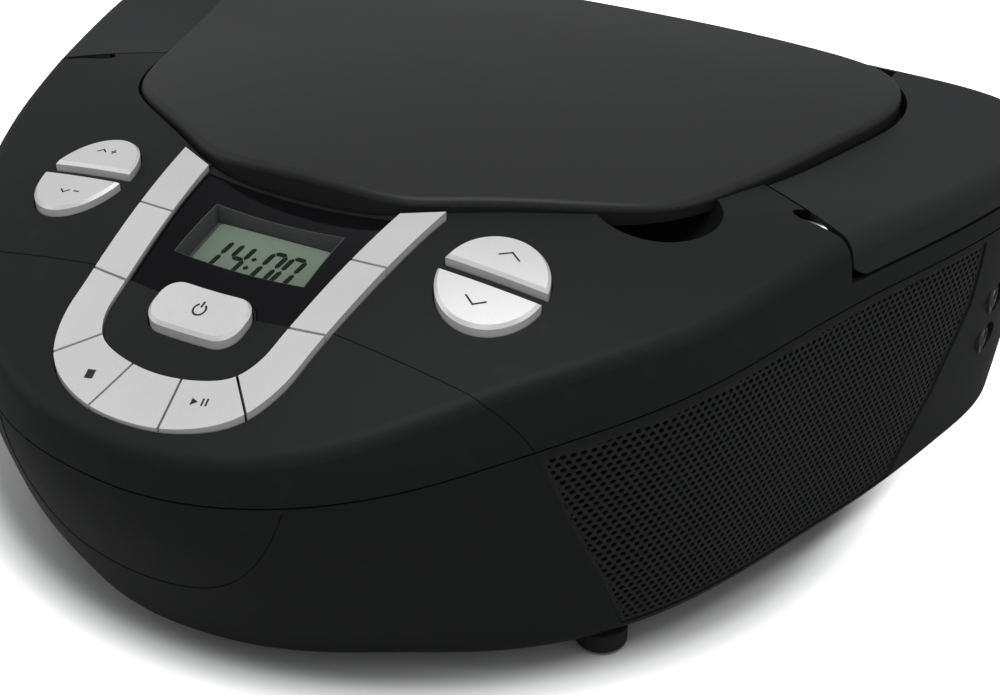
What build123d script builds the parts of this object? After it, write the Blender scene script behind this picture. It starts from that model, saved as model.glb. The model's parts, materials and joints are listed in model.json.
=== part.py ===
from build123d import *
import math
import os

# Overall sizes. Front is towards -Y, the disc bay and lid are on top.
BODY_WIDTH = 299.0
BODY_DEPTH = 248.0
BASE_Z = 5.5
WALL = 2.8
ENVELOPE_TOP = 112.0
BASE_ROUND = 5.0
SHOULDER_ROUND = 5.0
SEAM_FRONT_Z = 59.5
SEAM_REAR_Z = 73.5
SEAM_GAP = 0.5
LEAN = 0.25

# Plan of the body at the seam and at the base, as shares of the half width and half depth.
SEAM_PLAN = [
    (0.0, -1.0), (0.22, -0.948), (0.41, -0.794), (0.535, -0.629), (0.69, -0.379), (0.803, -0.065),
    (0.883, 0.177), (0.973, 0.468), (1.0, 0.71), (0.936, 0.895), (0.696, 0.98), (0.0, 1.0),
]
BASE_PLAN = [
    (0.0, -0.855), (0.194, -0.815), (0.361, -0.726), (0.508, -0.629), (0.682, -0.395), (0.803, -0.065),
    (0.876, 0.177), (0.943, 0.468), (0.97, 0.694), (0.91, 0.863), (0.676, 0.944), (0.0, 0.96),
]

# Rise of the top deck from nose to back: distance from centre, height, and bend across per mm.
DECK_STATIONS = [
    (-135.0, 66.2, -0.00083), (-114.0, 73.2, -0.00091), (-96.0, 81.0, -0.00104), (-78.0, 88.0, -0.00122),
    (-60.0, 93.5, -0.00125), (-40.0, 97.6, -0.00119), (-15.0, 98.0, -0.00078), (8.0, 95.0, -0.00038),
    (28.0, 90.8, -0.00012), (50.0, 89.4, -0.00008), (90.0, 89.0, -0.00006), (135.0, 88.6, -0.00006),
]
LID_STATIONS = [
    (-70.0, 98.0, -0.00122), (-44.0, 100.3, -0.00117), (-15.0, 101.6, -0.00115), (25.0, 101.4, -0.00104),
    (75.0, 98.3, -0.00056), (125.0, 93.0, -0.0002),
]
SECTION_HALF = 175.0
SURFACE_TOL = 0.1
DECK_ROWS = 36
LID_ROWS = 16
PANEL_ROWS = 12

# Lid and the recess that it lies in.
LID_PLAN = [
    (0.0, -44.0), (15.0, -44.2), (28.0, -42.4), (39.0, -36.2), (65.0, -19.5), (78.0, -9.0), (87.5, 8.0),
    (93.0, 24.0), (104.0, 60.0), (109.0, 84.0), (102.0, 103.0), (78.0, 110.8), (0.0, 112.0),
]
LID_START = 6
LID_GAP = 0.8
LID_WALL = 2.4
LID_EDGE_ROUND = 2.0
RECESS_FRONT_Z = 92.0
RECESS_REAR_Z = 82.0
RECESS_FRONT_Y = -44.0
RECESS_REAR_Y = 112.0
LID_SEAT_GAP = 0.4
PAN_WALL = 2.2
HINGE_Y = 104.0
HINGE_Z = 88.3
HINGE_X = 52.0
HINGE_PIN_R = 1.2
HINGE_BORE_R = 1.25
HINGE_LUG_R = 3.4
HINGE_LUG_W = 6.0
HINGE_POST_R = 2.6
HINGE_POST_W = 4.0
HINGE_SIDE_GAP = 0.3
TROUGH_Z = 77.6
TROUGH_Y = 98.5
TROUGH_GAP = 1.7
HINGE_NOTCH = (42.5, 61.5)

# Folding handle that lies round the back of the lid.
HANDLE_BOTTOM_Z = 80.0
LEDGE_Z = 79.1
HANDLE_GAP = 1.9
HANDLE_CLEAR = 0.7
HANDLE_REAR_Y = 115.0
HANDLE_INNER_FRONT = (92.0, 23.5)
HANDLE_OUTER_FRONT = (122.0, 4.9)
HANDLE_PIVOT_Y = 11.0
HANDLE_PIVOT_Z = 87.4
HANDLE_END_R = 7.8
HANDLE_PIN_R = 1.5
HANDLE_BORE_R = 1.55
HANDLE_PIN_INNER_X = 99.0
HANDLE_PIN_OUTER_X = 119.0
HANDLE_SWEEP = [(103.5, 3.0), (107.4, 4.1), (112.3, 4.3), (117.0, 5.4), (123.0, 7.4), (135.0, 7.4)]
HANDLE_RELIEF = [(98.0, 8.5), (102.0, 6.6), (107.4, 4.05), (108.2, 3.7)]
HANDLE_WALL = 2.4
HANDLE_HOLLOW_Y = (34.0, 104.0)

# Finger notch for lifting the lid.
NOTCH_CENTRE = (76.5, -6.8, 95.0)
NOTCH_R = 16.2

# Control panel: a shallow dish inside a U of keys. Stations are distance, height and bend as above.
DISH_STATIONS = [
    (-125.0, 68.6, 0.0032), (-100.0, 77.6, 0.0032), (-84.0, 83.1, 0.0032), (-63.0, 89.9, 0.0032),
    (-35.0, 94.6, 0.0032),
]
KEY_STATIONS = [
    (-128.0, 69.0, 0.0005), (-104.0, 77.3, 0.0012), (-84.5, 84.9, 0.0011), (-63.0, 92.1, 0.0007),
    (-44.5, 96.4, 0.0005), (-30.0, 98.6, 0.0005),
]
PANEL_HALF = 60.0
KEY_THICK = 4.0
KEY_SLOT_GAP = 0.35
KEY_SPLIT = 0.6
KEY_TRAVEL = 0.8
KEY_UNDER = 0.4
KEY_STEM_R = 1.8
STEM_HOLE_R = 2.4
U_OUTER = [
    (0.0, -116.6), (9.4, -115.8), (18.2, -113.0), (26.6, -106.6), (30.6, -97.0), (31.9, -86.0), (37.7, -40.8),
]
U_INNER = [
    (0.0, -103.8), (6.7, -103.3), (12.8, -102.0), (18.6, -99.0), (21.6, -93.5), (22.6, -86.0), (27.6, -44.9),
]
SPLITS = [
    ((25.0, -62.8), (36.0, -62.9)), ((22.0, -84.7), (34.0, -84.3)), ((17.2, -97.6), (28.6, -109.3)),
    ((6.2, -101.0), (9.9, -118.0)),
]
STEMS = {
    "key_front": (0.0, -110.0), "key_front_right": (15.0, -107.6), "key_corner_right": (25.0, -96.0),
    "key_side_right": (28.4, -73.7), "key_rear_right": (31.4, -53.0),
}
POWER_CENTRE = (0.0, -86.9)
POWER_SIZE = (25.0, 12.4)
POWER_CORNER = 5.2
POWER_PROUD = 2.6
POWER_THICK = 4.2
POWER_BEVEL = 0.7
ROUND_CENTRE = (57.9, -55.5)
ROUND_RADII = (12.8, 14.2)
ROUND_SPLIT = 3.6
ROUND_TURN = 3.0
ROUND_PROUD = 2.4
ROUND_THICK = 4.2
ROUND_BEVEL = 0.7
ROUND_STEM_Y = 7.6
WINDOW_TOP_Y = -46.4
WINDOW_BOTTOM_Y = -83.4
WINDOW_DROP = 0.3
WINDOW_THICK = 1.6
WINDOW_GAP = 0.3
LCD_CENTRE = (0.0, -63.2)
LCD_OPENING = (37.2, 18.0)
LCD_TILT = 15.5
LCD_GLASS_DROP = 3.0
LCD_BODY = (41.0, 23.0, 3.6)
LCD_RAISED = (36.4, 16.8, 1.4)
BOARD_REAR_Y = -38.0
BOARD_REAR_Z = 80.0
BOARD_SLOPE = 0.29
BOARD_THICK = 1.6
BOARD_PLAN = [(-24.0, -113.0), (24.0, -113.0), (68.0, -70.0), (68.0, -38.0), (-68.0, -38.0), (-68.0, -70.0)]
SWITCH_SIZE = 6.0
SWITCH_H = 3.2
PLUNGER_R = 1.6
PLUNGER_H = 4.3
SWITCH_GAP = 1.2

# Disc bay and drive, on one vertical axis.
DISC_Y = 30.0
WELL_R = 64.0
WELL_FLOOR_Z = 77.0
WELL_WALL = 1.8
DISC_SEAT_Z = 81.0
HUB_FLANGE_R = 15.0
HUB_FLANGE_H = 2.4
HUB_NOSE_R = 7.4
HUB_NOSE_H = 4.0
HUB_BEVEL = 1.0
HUB_BOSS_R = 4.0
SPINDLE_R = 1.0
SPINDLE_BORE_R = 1.06
MOTOR_R = 12.0
FRAME_Z = 62.0
FRAME_THICK = 2.0
FRAME_X = (-34.0, 74.0)
FRAME_HALF_Y = 33.0
FRAME_POST_R = 3.5
BLOCK = 3.0
ROD_Y = 13.0
ROD_Z = 69.0
ROD_R = 1.5
ROD_BORE_R = 1.56
ROD_X = (13.0, 72.0)
SLED_START_X = 27.0
SLED_TRAVEL = 32.0
SLED_SIZE = (15.0, 34.0, 7.0)
LENS_R = 3.4
LENS_H = 3.2
LENS_GAP = 0.8
SLOT_HALF = 6.0
SCREW_LINE_Y = 22.0
SCREW_LINE_R = 1.6
SCREW_BEARING_R = 1.66
SLED_MOTOR_R = 4.8
CLAMP_R = 14.0
CLAMP_Z = 82.7
CLAMP_H = 3.7
CLAMP_POST_R = 3.0
CLAMP_BORE_R = 3.06
CLAMP_SEAT_Z = 87.0
CLAMP_CUP_R = 11.5

# Speakers, grilles and sockets on the side walls.
GRILLE_INSET = 0.5
GRILLE_THICK = 1.0
GRILLE_SEAT = 0.05
GRILLE_GAP = 0.3
GRILLE_TOP_DROP = 2.0
GRILLE_LEDGE = 3.0
GRILLE_FRONT = [(-77.0, 64.0), (-70.0, 43.0), (-64.0, 25.0), (-58.5, 9.5)]
GRILLE_REAR = [(29.0, 9.5), (42.0, 30.0), (52.0, 53.0), (54.0, 71.5)]
SPEAKER_AT = (118.3, -12.0)
SPEAKER_TURN = -23.3
SPEAKER_Z = 38.0
SPEAKER_INSET = 11.0
CONE_R = 27.0
SPEAKER_FLANGE = 59.0
BAFFLE = (72.0, 58.0, 2.4)
BAFFLE_CLEAR = 3.5
JACK_Y = 66.0
HEADPHONE_Z = 50.0
AUX_Z = 37.0
JACK_NUT_R = 4.6
JACK_BORE_R = 1.8
JACK_BORE_LENGTH = 15.0
JACK_BODY = (16.0, 11.0, 9.0)
JACK_BUSH = 5.0
JACK_SUNK = 0.4

# Power: battery bay under a door in the floor, mains inlet and transformer.
BAY_X = 53.0
BAY_Y = (17.0, 104.0)
BAY_Z = 38.0
BAY_WALL = 1.8
DOOR_AXIS = (20.0, 7.7)
DOOR_BARREL_R = 2.2
DOOR_PIN_R = 1.2
DOOR_BORE_R = 1.26
DOOR_THICK = 2.2
DOOR_GAP = 0.4
INLET_X = -88.0
INLET_Z = 26.0
INLET_SIZE = (20.0, 22.0, 14.0)
INLET_HOLE = (15.0, 12.0, 9.0)
TRANSFORMER_LOW = (-112.0, 52.0, 8.3)
TRANSFORMER_HIGH = (-66.0, 92.0, 46.0)

# Feet and screws.
FRONT_FOOT = (88.0, -56.0)
REAR_FOOT = (122.0, 90.0)
FOOT_R = 6.5
SCREW_R = 1.5
SCREW_HEAD_R = 3.0
SCREW_HEAD_Z = 9.0
COLUMN_R = 4.2
COLUMN_SPLIT_Z = 46.0
SCREW_PLACES = [(74.0, -60.0), (122.0, 46.0), (62.0, 109.5)]

HALF_W = BODY_WIDTH / 2
HALF_D = BODY_DEPTH / 2
BIG = 400.0
HIGH = 200.0
HIGHER = 210.0


def offset_points(points, distance):
    """Move the points of a mirrored outline outwards by a distance, or inwards when it is negative."""
    moved = []
    last = len(points) - 1
    for i, (x, y) in enumerate(points):
        if i == 0:
            moved.append((x, y - distance))
            continue
        if i == last and x == 0:
            moved.append((x, y + distance))
            continue
        ax, ay = points[i - 1]
        bx, by = points[min(i + 1, last)]
        length = math.hypot(bx - ax, by - ay)
        moved.append((x + distance * (by - ay) / length, y - distance * (bx - ax) / length))
    return moved


def full_loop(points):
    """All points of an outline, from its right half that starts at the nose."""
    return [*points, *[(-x, y) for x, y in reversed(points[1:-1])]]


def loop_steps(points):
    """Running length along the closed loop through an outline's points."""
    loop = full_loop(points)
    steps = [0.0]
    for (ax, ay), (bx, by) in zip(loop, [*loop[1:], loop[0]]):
        steps.append(steps[-1] + math.hypot(bx - ax, by - ay))
    return [step / steps[-1] for step in steps]


def outline(points, z, steps=None):
    """Closed face at height z, from the right half of an outline that starts at the nose."""
    loop = [Vector(x, y, z) for x, y in full_loop(points)]
    edge = Edge.make_spline(loop, periodic=True, parameters=steps or loop_steps(points))
    return Face(Wire([edge]))


def prism(face, low, high):
    """Straight prism over a face that lies at height zero."""
    return extrude(Pos(0, 0, low) * face, amount=high - low, dir=(0, 0, 1))


def plan_prism(points, low, high):
    """Straight prism over an outline whose curve starts beside the finger notch."""
    loop = [Vector(x, y, low) for x, y in full_loop(points)]
    loop = loop[LID_START:] + loop[:LID_START]
    steps = [0.0]
    for a, b in zip(loop, [*loop[1:], loop[0]]):
        steps.append(steps[-1] + (b - a).length)
    edge = Edge.make_spline(loop, periodic=True, parameters=[step / steps[-1] for step in steps])
    return extrude(Face(Wire([edge])), amount=high - low, dir=(0, 0, 1))


def polygon_prism(points, low, high):
    face = make_face(Polyline(*[(x, y) for x, y in points], close=True))
    return extrude(Pos(0, 0, low) * face, amount=high - low, dir=(0, 0, 1))


def box_between(low, high):
    size = [b - a for a, b in zip(low, high)]
    centre = [(a + b) / 2 for a, b in zip(low, high)]
    return Pos(*centre) * Box(*size)


def cylinder_between(start, end, radius):
    start, end = Vector(*start), Vector(*end)
    plane = Plane(origin=start, z_dir=end - start)
    return extrude(plane * Circle(radius), amount=(end - start).length)


def seam_z(y):
    """Height of the seam between the two housings at a distance y."""
    front, rear = -HALF_D, 0.1 * HALF_D
    if y >= rear:
        return SEAM_REAR_Z
    share = (rear - y) / (rear - front)
    return SEAM_REAR_Z - (SEAM_REAR_Z - SEAM_FRONT_Z) * share ** 1.6


def level_points(z, inset):
    """Body outline at height z: a bowl below the seam, leaning in above it."""
    points = []
    for (sx, sy), (bx, by) in zip(SEAM_PLAN, BASE_PLAN):
        seam = (sx * HALF_W, sy * HALF_D)
        base = (bx * HALF_W, by * HALF_D)
        height = seam_z(seam[1])
        share = max(0.0, (height - z) / (height - BASE_Z)) ** 1.7
        points.append((seam[0] + (base[0] - seam[0]) * share, seam[1] + (base[1] - seam[1]) * share))
    lean = [LEAN * max(0.0, z - seam_z(p[1])) for p in points]
    leaned = [offset_points(points, -amount)[i] for i, amount in enumerate(lean)]
    return offset_points(leaned, -inset)


def envelope(inset, floor):
    """Outer form of both housings, moved inwards by an inset."""
    heights = [floor, 18.0, 34.0, 50.0, 64.0, 76.0, 92.0, ENVELOPE_TOP + inset]
    steps = loop_steps([(x * HALF_W, y * HALF_D) for x, y in SEAM_PLAN])
    return loft([outline(level_points(z, inset), z, steps) for z in heights])


def station_slope(stations, i, k):
    """Change per mm of column k of a table of stations, at row i."""
    low, high = stations[max(0, i - 1)], stations[min(len(stations) - 1, i + 1)]
    return (high[k] - low[k]) / (high[0] - low[0])


def station_value(stations, y, k):
    """Column k of a table of stations at a distance y, as a smooth curve through its rows."""
    i = max([0] + [j for j in range(len(stations) - 1) if stations[j][0] <= y])
    start, end = stations[i], stations[i + 1]
    span = end[0] - start[0]
    t = (y - start[0]) / span
    rise = (end[k] - start[k]) * t * t * (3 - 2 * t)
    lead = station_slope(stations, i, k) * span * t * (1 - t) ** 2
    trail = station_slope(stations, i + 1, k) * span * t * t * (1 - t)
    return start[k] + rise + lead - trail


def below_surface(stations, half, rows, lift):
    """Solid below a smooth surface through the arcs of its stations."""
    columns = 12
    first, last = stations[0][0], stations[-1][0]
    grid = []
    for j in range(rows + 1):
        y = first + (last - first) * j / rows
        z, bend = station_value(stations, y, 1), station_value(stations, y, 2)
        xs = [-half + 2 * half * i / columns for i in range(columns + 1)]
        grid.append([Vector(x, y, z + lift + x * x * bend) for x in xs])
    surface = Face.make_surface_from_array_of_points(grid, tol=SURFACE_TOL, min_deg=3, max_deg=5)
    return extrude(surface, amount=150, dir=(0, 0, -1))


def below_deck(lift):
    return below_surface(DECK_STATIONS, SECTION_HALF, DECK_ROWS, lift)


def below_lid(lift):
    return below_surface(LID_STATIONS, SECTION_HALF, LID_ROWS, lift)


def below_dish(lift):
    """Solid below the concave control panel surface."""
    return below_surface(DISH_STATIONS, PANEL_HALF, PANEL_ROWS, lift)


def below_keys(lift):
    return below_surface(KEY_STATIONS, PANEL_HALF, PANEL_ROWS, lift)


def seam_cutter(lift):
    """Solid above the seam, moved up by a lift."""
    steps = 8
    ys = [-HALF_D - 30 + i * (1.1 * HALF_D + 30) / steps for i in range(steps + 1)]
    curve = Spline([Vector(0, y, seam_z(max(y, -HALF_D)) + lift) for y in ys])
    end = curve @ 1
    far = BIG / 2
    corners = [(0, far, SEAM_REAR_Z + lift), (0, far, BIG), (0, ys[0], BIG)]
    rest = Polyline(tuple(end), *corners, tuple(curve @ 0))
    return extrude(Face(Wire([curve, *rest.edges()])), amount=BIG, both=True, dir=(1, 0, 0))


def sloped_half(front, rear):
    """Everything above a plane that passes through two (y, z) points."""
    slope = (rear[1] - front[1]) / (rear[0] - front[0])
    low = front[1] - slope * (front[0] + BIG)
    high = front[1] + slope * (BIG - front[0])
    corners = [(0, -BIG, low), (0, BIG, high), (0, BIG, high + BIG), (0, -BIG, low + BIG)]
    face = Face(Wire(Polyline(*corners, close=True).edges()))
    return extrude(face, amount=BIG, both=True, dir=(1, 0, 0))


def above_recess(lift):
    return sloped_half((RECESS_FRONT_Y, RECESS_FRONT_Z + lift), (RECESS_REAR_Y, RECESS_REAR_Z + lift))


def recess_z(y):
    share = (y - RECESS_FRONT_Y) / (RECESS_REAR_Y - RECESS_FRONT_Y)
    return RECESS_FRONT_Z + share * (RECESS_REAR_Z - RECESS_FRONT_Z)


def board_z(y):
    return BOARD_REAR_Z + BOARD_SLOPE * (y - BOARD_REAR_Y)


def above_board(lift):
    front_y = BOARD_REAR_Y - 50
    return sloped_half((front_y, board_z(front_y) + lift), (BOARD_REAR_Y, BOARD_REAR_Z + lift))


def both_sides(*shapes):
    """Shapes together with their mirror images."""
    return [*shapes, *[mirror(shape, about=Plane.YZ) for shape in shapes]]


def group(shapes):
    return Compound(children=[solid for shape in shapes for solid in shape.solids()])


def lid_prism(grow, low, high):
    return plan_prism(offset_points(LID_PLAN, grow), low, high)


def u_face(grow):
    """Closed face of the U of keys, each edge moved outwards by a distance."""
    outer = offset_points(U_OUTER, grow)
    inner = offset_points(U_INNER, -grow)
    outer_line = [Vector(x, y) for x, y in outer]
    inner_line = [Vector(x, y) for x, y in inner]
    for line in (outer_line, inner_line):
        line[-1] = line[-1] + (line[-1] - line[-2]).normalized() * grow
    edges = []
    for line in (outer_line, inner_line):
        along = line[-1] - line[-2]
        edges.append(Spline(*line[:-1], tangents=[(1, 0), (along.X, along.Y)]))
        edges.append(Line(line[-2], line[-1]))
    edges.append(Line(outer_line[-1], inner_line[-1]))
    mirrored = [mirror(edge, about=Plane.YZ) for edge in edges]
    return make_face([*edges, *mirrored])


def panel_face(points, top_y):
    """Face inside a U outline, closed by a straight line at its top."""
    line = [Vector(x, y) for x, y in points]
    along = line[-1] - line[-2]
    reach = (top_y - line[-1].Y) / along.Y
    tip = line[-1] + along * reach
    edges = [Spline(*line[:-1], tangents=[(1, 0), (along.X, along.Y)]), Line(line[-2], tip)]
    mirrored = [mirror(edge, about=Plane.YZ) for edge in edges]
    return make_face([*edges, Line(tip, (-tip.X, tip.Y)), *mirrored])


def stem_end(y):
    return board_z(y) + PLUNGER_H + SWITCH_GAP


def stem(place, top):
    x, y = place
    return cylinder_between((x, y, stem_end(y)), (x, y, top), KEY_STEM_R)


def round_half(side, grow):
    """One half of a round key in plan; side is 1 for the rear half and -1 for the front half."""
    oval = Ellipse(ROUND_RADII[0] + grow, ROUND_RADII[1] + grow)
    size = 2 * (ROUND_RADII[1] + 2)
    cut = Pos(0, side * (size / 2 + ROUND_SPLIT / 2 - grow)) * Rectangle(size, size)
    return Pos(*ROUND_CENTRE) * Rot(0, 0, ROUND_TURN) * (oval & cut)


def round_stem(side):
    return (ROUND_CENTRE[0], ROUND_CENTRE[1] + side * ROUND_STEM_Y)


def power_face(grow):
    width, depth = POWER_SIZE
    corner = POWER_CORNER + grow
    return Pos(*POWER_CENTRE) * RectangleRounded(width + 2 * grow, depth + 2 * grow, corner)


def handle_region(grow, low):
    """Plan zone of the folded handle, above a height; grow widens it at its front edge."""
    (x0, y0), (x1, y1) = HANDLE_INNER_FRONT, HANDLE_OUTER_FRONT
    slope = (y1 - y0) / (x1 - x0)
    drop = grow * math.hypot(1, slope)
    near, far = 60.0, HALF_W + 20
    start = (near, y0 + slope * (near - x0) - drop)
    end = (far, y0 + slope * (far - x0) - drop)
    right = [start, end, (far, HALF_D + 20)]
    left = [(-x, y) for x, y in reversed(right)]
    return polygon_prism([*right, *left], low, HIGH)


def pivot_turning(points):
    """Turned solid round a handle pivot, from (x, radius) points."""
    line = [(points[0][0], 0), *points, (points[-1][0], 0)]
    face = make_face(Polyline(*[(x, 0, r) for x, r in line], close=True))
    solid = revolve(face, Axis((0, 0, 0), (1, 0, 0)), 360)
    return Pos(0, HANDLE_PIVOT_Y, HANDLE_PIVOT_Z) * solid


def side_prism(points):
    """Prism along X over a (y, z) outline, on the right side only."""
    face = Face(Wire(Polyline(*[(50.0, y, z) for y, z in points], close=True).edges()))
    return extrude(face, amount=120, dir=(1, 0, 0))


def grille_outline(grow):
    """Side view of a grille, moved outwards by a distance; its top follows the seam."""
    front, rear = GRILLE_FRONT[0][0], GRILLE_REAR[-1][0]
    steps = 6
    ys = [front + (rear - front) * i / steps for i in range(1, steps)]
    top = [(y, seam_z(y) - GRILLE_TOP_DROP + grow) for y in reversed(ys)]
    left = [(y - grow, z) for y, z in GRILLE_FRONT]
    right = [(y + grow, z) for y, z in GRILLE_REAR]
    left[0] = (left[0][0], seam_z(front) - GRILLE_TOP_DROP + grow)
    right[-1] = (right[-1][0], SEAM_REAR_Z - GRILLE_TOP_DROP + grow)
    left[-1] = (left[-1][0], left[-1][1] - grow)
    right[0] = (right[0][0], right[0][1] - grow)
    return [*left, *right, *top]


def speaker_frame_of(depth):
    """Plane of the right speaker, facing outwards, at a depth behind the wall."""
    turn = math.radians(SPEAKER_TURN)
    normal = Vector(math.cos(turn), math.sin(turn), 0)
    origin = Vector(*SPEAKER_AT, SPEAKER_Z) - normal * depth
    return Plane(origin=origin, x_dir=(-normal.Y, normal.X, 0), z_dir=normal)


def bay_box(grow, low, high):
    return box_between((-BAY_X - grow, BAY_Y[0] - grow, low), (BAY_X + grow, BAY_Y[1] + grow, high))


def wall_x(y, z):
    """Distance of the right side wall from the middle, at a place behind the nose."""
    edge = outline(level_points(z, 0), z).edges()[0]
    places = [edge @ (i / 800) for i in range(801)]
    near = [p for p in places if p.X > 30]
    return min(near, key=lambda p: abs(p.Y - y)).X


PARTS = {}


def keep(name, shape):
    PARTS[name] = shape


def make_body():
    """Outer solid of both housings with rounded base and shoulder."""
    body = envelope(0, BASE_Z)
    body = fillet(body.edges().group_by(Axis.Z)[0], BASE_ROUND)
    body = body & below_deck(0)
    top = body.faces().sort_by(Axis.Z)[-1]
    return fillet(top.edges(), SHOULDER_ROUND)


def upper_blocks(deck_low, keys_low):
    """Solid zones that stay inside the upper housing below its openings."""
    recess = lid_prism(LID_GAP + PAN_WALL, 70, ENVELOPE_TOP) & above_recess(-PAN_WALL)
    rim = lid_prism(LID_GAP, 0, HIGH) - lid_prism(LID_GAP - PAN_WALL, -1, HIGHER)
    rim = rim & box_between((-HALF_W, 2, LEDGE_Z - PAN_WALL), (HALF_W, HALF_D, ENVELOPE_TOP))
    ledge = handle_region(PAN_WALL + 1, LEDGE_Z - PAN_WALL) - lid_prism(LID_GAP, 0, HIGHER)
    trough = lid_prism(TROUGH_GAP + PAN_WALL, TROUGH_Z - PAN_WALL, ENVELOPE_TOP)
    trough = trough & box_between((-HALF_W, TROUGH_Y - PAN_WALL, 0), (HALF_W, HALF_D, HIGH))
    panel = prism(panel_face(offset_points(U_OUTER, PAN_WALL), -42.0), 50, ENVELOPE_TOP) - keys_low
    blocks = [recess, rim, ledge, trough, panel]
    for mark in (1, -1):
        x, y = ROUND_CENTRE
        oval = Pos(mark * x, y) * Ellipse(ROUND_RADII[0] + PAN_WALL, ROUND_RADII[1] + PAN_WALL)
        blocks.append(prism(oval, 50, ENVELOPE_TOP) - deck_low)
    blocks.append(Pos(*NOTCH_CENTRE) * Sphere(NOTCH_R + PAN_WALL))
    cheek = box_between((95.0, 4.0, 80.5), (113.0, 18.0, ENVELOPE_TOP))
    cheek = cheek - lid_prism(LID_GAP, 0, HIGHER)
    blocks.extend(both_sides(cheek))
    for x, y in SCREW_PLACES:
        blocks.extend(both_sides(Pos(x, y, 0) * Cylinder(COLUMN_R - 0.4, 200)))
    return blocks


def hinge_posts():
    """Four posts in the trough that carry the hinge pins of the lid."""
    posts = []
    for side in (-1, 1):
        centre = HINGE_X + side * (HINGE_LUG_W / 2 + HINGE_SIDE_GAP + HINGE_POST_W / 2)
        low, high = centre - HINGE_POST_W / 2, centre + HINGE_POST_W / 2
        front, rear = HINGE_Y - HINGE_POST_R, HINGE_Y + HINGE_POST_R
        column = box_between((low, front, TROUGH_Z - 1), (high, rear, HINGE_Z))
        eye = cylinder_between((low, HINGE_Y, HINGE_Z), (high, HINGE_Y, HINGE_Z), HINGE_POST_R)
        bore = cylinder_between((low - 1, HINGE_Y, HINGE_Z), (high + 1, HINGE_Y, HINGE_Z), HINGE_PIN_R)
        posts.append(column + eye - bore)
    return both_sides(*posts)


def upper_cuts(dish_top):
    """Openings in the upper housing."""
    lid_room = lid_prism(LID_GAP, 70, HIGH - 5) & above_recess(0)
    channel = handle_region(HANDLE_CLEAR, LEDGE_Z) - lid_prism(LID_GAP, 0, HIGHER)
    trough = lid_prism(TROUGH_GAP, TROUGH_Z, HIGH - 10)
    trough = trough & box_between((-HALF_W, TROUGH_Y, 0), (HALF_W, HALF_D, HIGHER))
    well = Pos(0, DISC_Y, 80) * Cylinder(WELL_R, 60)
    slot = prism(u_face(KEY_SLOT_GAP), 50, HIGH - 15) - below_keys(-KEY_THICK - KEY_TRAVEL - KEY_UNDER)
    dish = prism(panel_face(U_INNER, -40.0), 50, HIGH - 20) - dish_top
    seat_floor = below_dish(-WINDOW_DROP - WINDOW_THICK)
    seat = prism(window_face(WINDOW_GAP), 50, HIGH - 25) - seat_floor
    display = Pos(*LCD_CENTRE, 80) * Box(*LCD_OPENING, 60)
    power = prism(power_face(KEY_SLOT_GAP), 50, HIGH - 30)
    power = power - below_dish(POWER_PROUD - POWER_THICK - KEY_TRAVEL - KEY_UNDER)
    cuts = [lid_room, channel, trough, well, slot, dish, seat, display, power]
    deck_floor = below_deck(ROUND_PROUD - ROUND_THICK - KEY_TRAVEL - KEY_UNDER)
    for side in (-1, 1):
        cuts.extend(both_sides(prism(round_half(side, KEY_SLOT_GAP), 50, HIGH) - deck_floor))
    for place in [POWER_CENTRE, *STEMS.values(), round_stem(1), round_stem(-1)]:
        cuts.extend(both_sides(Pos(*place, 80) * Cylinder(STEM_HOLE_R, 70)))
    cuts.append(Pos(*NOTCH_CENTRE) * Sphere(NOTCH_R))
    cuts.extend(both_sides(pivot_turning(HANDLE_SWEEP)))
    axis = (HANDLE_PIVOT_Y, HANDLE_PIVOT_Z)
    cuts.extend(both_sides(cylinder_between((HANDLE_PIN_INNER_X, *axis), (130, *axis), HANDLE_PIN_R)))
    for x, y in SCREW_PLACES:
        cuts.extend(both_sides(cylinder_between((x, y, 0), (x, y, COLUMN_SPLIT_Z + 10), SCREW_R)))
    return cuts


def make_upper(body):
    deck_low = below_deck(ROUND_PROUD - ROUND_THICK - KEY_TRAVEL - KEY_UNDER - 2.0)
    keys_low = below_keys(-KEY_THICK - KEY_TRAVEL - KEY_UNDER - 2.0)
    cavity = envelope(WALL, BASE_Z) & below_deck(-WALL)
    cavity = cavity - upper_blocks(deck_low, keys_low)
    upper = (body & seam_cutter(SEAM_GAP / 2)) - cavity
    columns = [Pos(x, y, 0) * Cylinder(COLUMN_R - 0.4, 200) for x, y in SCREW_PLACES]
    inner = (envelope(WALL, BASE_Z) & below_deck(-WALL / 2)) - seam_cutter(SEAM_GAP)
    lower_end = box_between((-HALF_W, -HALF_D, COLUMN_SPLIT_Z + 0.3), (HALF_W, HALF_D, HIGH))
    upper = upper + [column & inner & lower_end for column in both_sides(*columns)]
    upper = upper - upper_cuts(below_dish(0))
    keep("upper_housing", upper + hinge_posts())


def window_face(grow):
    """Plan of the display window, with a notch round the rear of the power key."""
    points = offset_points(U_INNER, grow - KEY_SLOT_GAP - 0.6)
    width = 2 * HALF_W
    low, high = WINDOW_BOTTOM_Y - grow, WINDOW_TOP_Y + grow
    band = Pos(0, (low + high) / 2) * Rectangle(width, high - low)
    return (panel_face(points, -42.0) & band) - power_face(1.2 - grow)


def make_window():
    plate = prism(window_face(0), 50, ENVELOPE_TOP) & below_dish(-WINDOW_DROP)
    keep("display_window", plate - below_dish(-WINDOW_DROP - WINDOW_THICK))


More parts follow.
